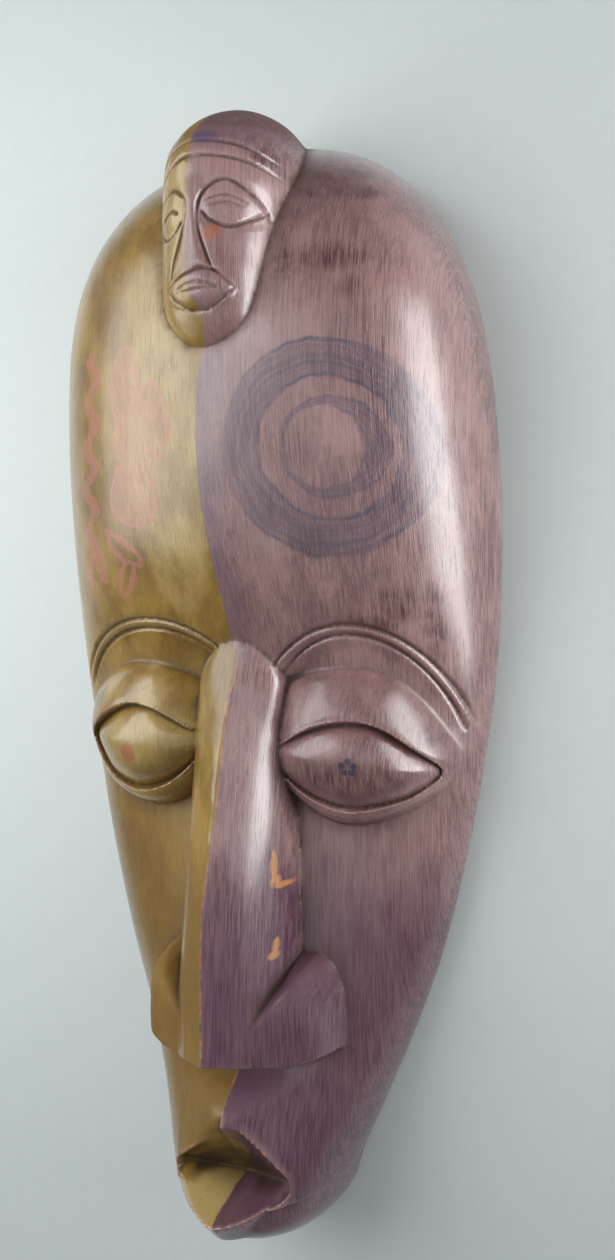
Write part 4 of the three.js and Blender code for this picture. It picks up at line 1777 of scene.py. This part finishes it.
        # Partly a deeper stain, partly painted shade under the nose and around the mouth.
        tone = painter.lay(tone, self.plum_low, self.thick_stain_and_shade, place)
        patchy = bench.mottle(place, self.blotch_breaks)
        tone = painter.lay(tone, self.maroon, self.blotches, place, patchy)
        tone = painter.lay(tone, self.maroon, self.dark_ball, place)
        # Painted sheen: a pale plum down the nose's front.
        tone = painter.lay(tone, self.plum_sheen, self.painted_nose_sheen, place)
        showing = self.plum_streaks - low * self.plum_low_streaks
        tone = bench.mix(grain["Streak"] * showing, tone, self.plum_grain)
        return bench.mix(grain["Pore"] * self.plum_pores, tone, self.dirt)

    def _use(self, painter: Painter, steady: Signal, marks: dict[str, Signal], under: Signal) -> Signal:
        """Adds what use has done: edges rubbed light, spots rubbed bare and dirt in the hollows, then painted
        shade in the dirt colour under the upper lip and deep in the mouth.

        Args:
            painter: The material's painter.
            steady: The point on the mask as a steady hand finds it.
            marks: The outputs of the handling effect.
            under: The colour so far.

        Returns:
            The new colour.
        """
        bench, place = painter.bench, painter.place
        colour = bench.mix(marks["Lightened"] * self.lightened, under, self.plum_grain)
        colour = bench.mix(marks["Rubbed"], colour, self.bare_wood)
        worn = bench.mottle(steady, self.worn_breaks)
        colour = painter.lay(colour, self.bare_wood, self.worn_spots, steady, worn)
        colour = bench.mix(marks["Dirty"] * self.dirty, colour, self.dirt)
        colour = painter.lay(colour, self.rust, self.rust_smudge, place)
        colour = painter.lay(colour, self.ink, self.ink_smudge, place)
        # Painted shade in the dirt colour under the upper lip's roof and deep in the mouth, where shade
        # falls.
        height = bench.axes(place)[2]
        below = painter.fade(height, self.roof_heights)
        colour = painter.lay(colour, self.dirt, self.roof_shade, steady, below)
        deep = painter.fade(height, self.mouth_heights)
        return painter.lay(colour, self.dirt, self.mouth_shade, place, deep)

    def _hands(self, bench: NodeBench, place: Signal) -> tuple[Signal, Signal]:
        """Shifts the point a little, as an uneven hand does.

        Args:
            bench: The material's nodes.
            place: The point on the mask.

        Returns:
            The point as a shaky hand finds it, and as a steady one does.
        """
        inputs = {"Vector": place, "Scale": self.wander_scale, "Detail": self.wander_detail}
        wander = bench.put("ShaderNodeTexNoise", "Color", inputs)
        wander = bench.vector("SUBTRACT", wander, (0.5, 0.5, 0.5))
        shaky, steady = (
            bench.vector("ADD", place, bench.vector("MULTIPLY", wander, reach))
            for reach in (self.shaky_hand, self.steady_hand)
        )
        return shaky, steady

    def dress(self, effects: Effects) -> bpy.types.Material:
        """Makes the material.

        Args:
            effects: The shared effects.

        Returns:
            The stained wood.
        """
        painter = Painter("stained_wood", effects)
        bench, place = painter.bench, painter.place
        shaky, steady = self._hands(bench, place)
        grain = bench.effect(effects.grain, {})
        marks = bench.effect(effects.handling, {"Wear": self.wear, "Dirt": self.dirt_share})
        cloud = bench.mottle(place, self.clouds, self.cloud_stretch)
        # Thinly stained places, and a painted highlight on the lit lower lip.
        thin_and_lit = painter.cover(self.thin_stain_and_lit_lip, shaky) * (cloud * self.thin_stain_and_lit_lip.strength + self.thin_and_lit_least)
        thin_and_lit = bench.higher(thin_and_lit, painter.cover(self.lit_lip_highlight, place))
        ochre = self._pink_marks(painter, shaky, self._ochre(painter, grain, cloud, thin_and_lit))
        rings = [self._ring(painter, shaky, ovals) for ovals in self.rings]
        plum = bench.mix(bench.higher(*rings), self._plum(painter, grain, cloud), self.ring_blue)
        plum = painter.lay(plum, self.pupil_blue, self.petals, steady)
        border, along = self._border(bench, steady), bench.axes(place)[1]
        seam = painter.fade(border, self.seam_edge) * painter.fade(along, self.seam_top)
        seam = seam * painter.fade(along, self.seam_foot) * self.seam_share
        plum = bench.mix(seam, plum, self.plum_seam)
        colour = bench.mix(painter.fade(border, self.border_edge), ochre, plum)
        ridge = painter.line(border, self.ridge_rub) * painter.fade(along, self.ridge_top)
        ridge = ridge * bench.mottle(place, self.ridge_breaks) * self.ridge_rub.strength
        colour = bench.mix(ridge, colour, self.bare_wood)
        drawn_out = bench.vector("MULTIPLY", place, self.uneven_stretch)
        height = grain["Streak"] * self.streak_height - grain["Pore"]
        height = height + bench.noise(drawn_out, self.uneven_scale) * self.uneven_height
        dull = bench.higher(marks["Dirty"], painter.cover(self.dull_spots, shaky))
        rough = grain["Streak"] * self.rough_grain + self.roughness
        return painter.finish(
            {
                "Base Color": self._use(painter, steady, marks, colour),
                "Roughness": bench.math("ADD", rough, dull * self.dull_spots.strength, clamp=True),
                "Normal": bench.bump(height, self.bump_strength, self.bump_distance),
                "Coat Weight": bench.math("SUBTRACT", 1.0, dull, clamp=True) * self.coat,
                "Specular IOR Level": self.gloss,
                "Coat Roughness": self.coat_roughness,
            }
        )


@dataclass(frozen=True)
class BareWood:
    """The hollow back: the same wood, unstained, gouged and darkened by age."""

    deep: Colour = (0.120, 0.062, 0.028)
    light: Colour = (0.330, 0.205, 0.105)
    dirt: Colour = (0.045, 0.026, 0.014)
    roughness: float = 0.72
    streaks_per_metre: float = 300.0
    streak_stretch: float = 0.05
    streaks: float = 0.4
    wear: float = 0.6
    dirt_share: float = 1.0
    gouges_per_metre: Point = (60.0, 22.0, 60.0)
    gouge_softness: float = 0.4
    streak_height: float = 0.12
    bump_strength: float = 0.8
    bump_distance: float = 0.002

    def dress(self, effects: Effects) -> bpy.types.Material:
        """Makes the material.

        Args:
            effects: The shared effects.

        Returns:
            The bare wood.
        """
        painter = Painter("bare_wood", effects)
        bench, place = painter.bench, painter.place
        sizes = {"Streaks Per Metre": self.streaks_per_metre, "Stretch": self.streak_stretch}
        grain = bench.effect(effects.grain, sizes)
        marks = bench.effect(effects.handling, {"Wear": self.wear, "Dirt": self.dirt_share})
        colour = bench.mix(grain["Figure"], self.deep, self.light)
        colour = bench.mix(grain["Streak"] * self.streaks, colour, self.deep)
        spots = bench.vector("MULTIPLY", place, self.gouges_per_metre)
        gouge = {"Vector": spots, "Scale": 1.0, "Smoothness": self.gouge_softness}
        cut = bench.put("ShaderNodeTexVoronoi", "Distance", gouge, feature="SMOOTH_F1")
        height = cut + grain["Streak"] * self.streak_height
        return painter.finish(
            {
                "Base Color": bench.mix(marks["Dirty"], colour, self.dirt),
                "Normal": bench.bump(height, self.bump_strength, self.bump_distance),
                "Roughness": self.roughness,
            }
        )


def read_rows(
    items: bpy.types.bpy_prop_collection, name: str, width: int, kind: type
) -> npt.NDArray[np.generic]:
    """Reads one property of many mesh items at once.

    Args:
        items: The mesh's vertices, normals, edges or faces.
        name: The property.
        width: How many numbers each item has.
        kind: The kind of number.

    Returns:
        One row for each item.
    """
    numbers = np.zeros(len(items) * width, kind)
    items.foreach_get(name, numbers)
    return numbers.reshape(-1, width)


@dataclass(frozen=True)
class Curvature:
    """Measures how much the mesh's surface bends, for wear on its edges and dirt in its hollows."""

    spread: int = 3
    share: float = 0.6
    strongest: float = 0.15
    end_grain: Point = (0.25, 0.60)

    def mark(self, mesh: bpy.types.Mesh) -> None:
        """Writes the attributes edge, cavity and end grain on the mesh's vertices.

        Args:
            mesh: The finished mesh.
        """
        count = len(mesh.vertices)
        places = read_rows(mesh.vertices, "co", 3, np.float32) / MM
        normals = read_rows(mesh.vertex_normals, "vector", 3, np.float32)
        first, second = read_rows(mesh.edges, "vertices", 2, np.int32).T
        step = places[second] - places[first]
        length = np.einsum("ij,ij->i", step, step) + 0.3
        bend = np.einsum("ij,ij->i", normals[second] - normals[first], step) / length
        near = np.bincount(first, minlength=count) + np.bincount(second, minlength=count)
        near = np.maximum(near, 1)
        value = (np.bincount(first, bend, count) + np.bincount(second, bend, count)) / near
        for _ in range(self.spread):
            around = np.bincount(first, value[second], count) + np.bincount(second, value[first], count)
            value = (1.0 - self.share) * value + self.share * around / near
        levels = {
            "edge": np.clip(value / self.strongest, 0.0, 1.3),
            "cavity": np.clip(-value / self.strongest, 0.0, 1.3),
            "end grain": smooth_step(np.abs(normals[:, 1]), *self.end_grain),
        }
        for name, level in levels.items():
            layer = mesh.attributes.new(name, "FLOAT", "POINT")
            layer.data.foreach_set("value", level.astype(np.float32))


@dataclass(frozen=True)
class Lamp:
    """One soft light: where it hangs, what it points at, its size, power and spread in degrees."""

    name: str
    place: Point
    target: Point
    size: Point
    power: float
    spread: float = 180.0

    def hang(self) -> None:
        """Hangs the light, turned towards its target with its second size along the mask's length."""
        light = bpy.data.lights.new(self.name, "AREA")
        light.shape = "RECTANGLE"
        light.size, light.size_y = self.size
        light.spread = math.radians(self.spread)
        light.energy = self.power
        lamp = bpy.data.objects.new(self.name, light)
        lamp.location = self.place
        lamp.rotation_euler = (Vector(self.target) - Vector(self.place)).to_track_quat("-Z", "X").to_euler()
        lamp.visible_camera = False
        bpy.context.scene.collection.objects.link(lamp)


@dataclass(frozen=True)
class Studio:
    """The pale floor, the soft lights and the camera."""

    floor_half: float = 4.0
    floor_colour: Colour = (0.57, 0.62, 0.62)
    floor_shade: float = 0.94
    floor_roughness: float = 0.75
    camera_place: Point = (0.375, 0.071, 0.879)
    yaw: float = 21.7
    pitch: float = 1.2
    roll: float = -0.3
    focal_pixels: float = 953.0
    sensor: float = 36.0
    image_height: float = 1260.0
    world_colour: Colour = (0.78, 0.86, 0.88)
    world_strength: float = 0.20
    lamps: tuple[Lamp, ...] = (
        Lamp("left window", (-0.74, 0.25, 0.85), (-0.09, -0.16, 0.20), (0.97, 1.38), 15.5),
        Lamp("right window", (1.30, 0.29, 0.30), (0.10, 0.29, 0.26), (0.60, 1.20), 9.0, 110.0),
        Lamp("pale ceiling", (0.10, 0.00, 2.30), (0.10, 0.00, 0.00), (2.40, 2.40), 12.0),
    )

    def build(self) -> None:
        """Sets up everything that isn't the mask."""
        self._floor()
        self._camera()
        for lamp in self.lamps:
            lamp.hang()
        bpy.context.scene.view_settings.view_transform = "Standard"
        world = bpy.data.worlds.new("soft room")
        world.use_nodes = True
        background = world.node_tree.nodes["Background"].inputs
        background["Color"].default_value = (*self.world_colour, 1.0)
        background["Strength"].default_value = self.world_strength
        bpy.context.scene.world = world

    def _floor(self) -> None:
        """Lays the floor under the mask."""
        corners = [(-1, -1), (1, -1), (1, 1), (-1, 1)]
        mesh = bpy.data.meshes.new("floor")
        half = self.floor_half
        mesh.from_pydata([(x * half, y * half, 0.0) for x, y in corners], [], [(0, 1, 2, 3)])
        floor = bpy.data.objects.new("floor", mesh)
        bpy.context.scene.collection.objects.link(floor)
        painter = Painter("painted_board")
        spots = painter.bench.noise(painter.place, 60.0, 6.0, 0.6)
        darker = tuple(self.floor_shade * part for part in self.floor_colour)
        colour = painter.bench.mix(spots, darker, self.floor_colour)
        mesh.materials.append(painter.finish({"Base Color": colour, "Roughness": self.floor_roughness}))

    def _camera(self) -> None:
        """Puts the camera where the photograph was taken from."""
        lens = bpy.data.cameras.new("camera")
        lens.sensor_width = lens.sensor_height = self.sensor
        lens.lens = self.focal_pixels / self.image_height * lens.sensor_width
        turns = (("Z", self.roll), ("X", self.pitch), ("Y", -self.yaw))
        view = Matrix.Identity(3)
        for axis, angle in turns:
            view = view @ Matrix.Rotation(math.radians(angle), 3, axis)
        camera = bpy.data.objects.new("camera", lens)
        bpy.context.scene.collection.objects.link(camera)
        camera.matrix_world = Matrix.Translation(self.camera_place) @ view.transposed().to_4x4()
        bpy.context.scene.camera = camera


def dress_mask(mask: bpy.types.Object, hollow: Hollow, shell: Shell) -> None:
    """Gives the mask its two finishes: stain in front and bare wood behind.

    Args:
        mask: The carved mask.
        hollow: The hollow back, whose faces stay bare.
        shell: The shell that the hollow follows.
    """
    effects = Effects()
    for finish in (StainedWood(), BareWood()):
        mask.data.materials.append(finish.dress(effects))
    x, y, z = read_rows(mask.data.polygons, "center", 3, np.float64).T / MM
    roof = hollow.roof(shell, x, y)
    behind = (roof > 0.0) & (z < roof + ROOF_MARGIN) & (z < HOLLOW_TOP)
    inner = (z < RIM_MARGIN) | behind
    mask.data.polygons.foreach_set("material_index", inner.astype(np.int32))
    mask.data.update()


def main() -> None:
    """Builds the studio and the mask, and logs the mask's face count."""
    logging.basicConfig(level=logging.INFO, format="%(message)s")
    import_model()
    Studio().build()
    LOG.info("studio: floor, lights and camera in place")
    carving = CarvedMask()
    mask = carving.build()
    Curvature().mark(mask.data)
    dress_mask(mask, carving.hollow, carving.shell)
    LOG.info("mask_carving: stained and varnished")
    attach(mask, "root")
    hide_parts("carved_mask")


if __name__ == "__main__":
    main()
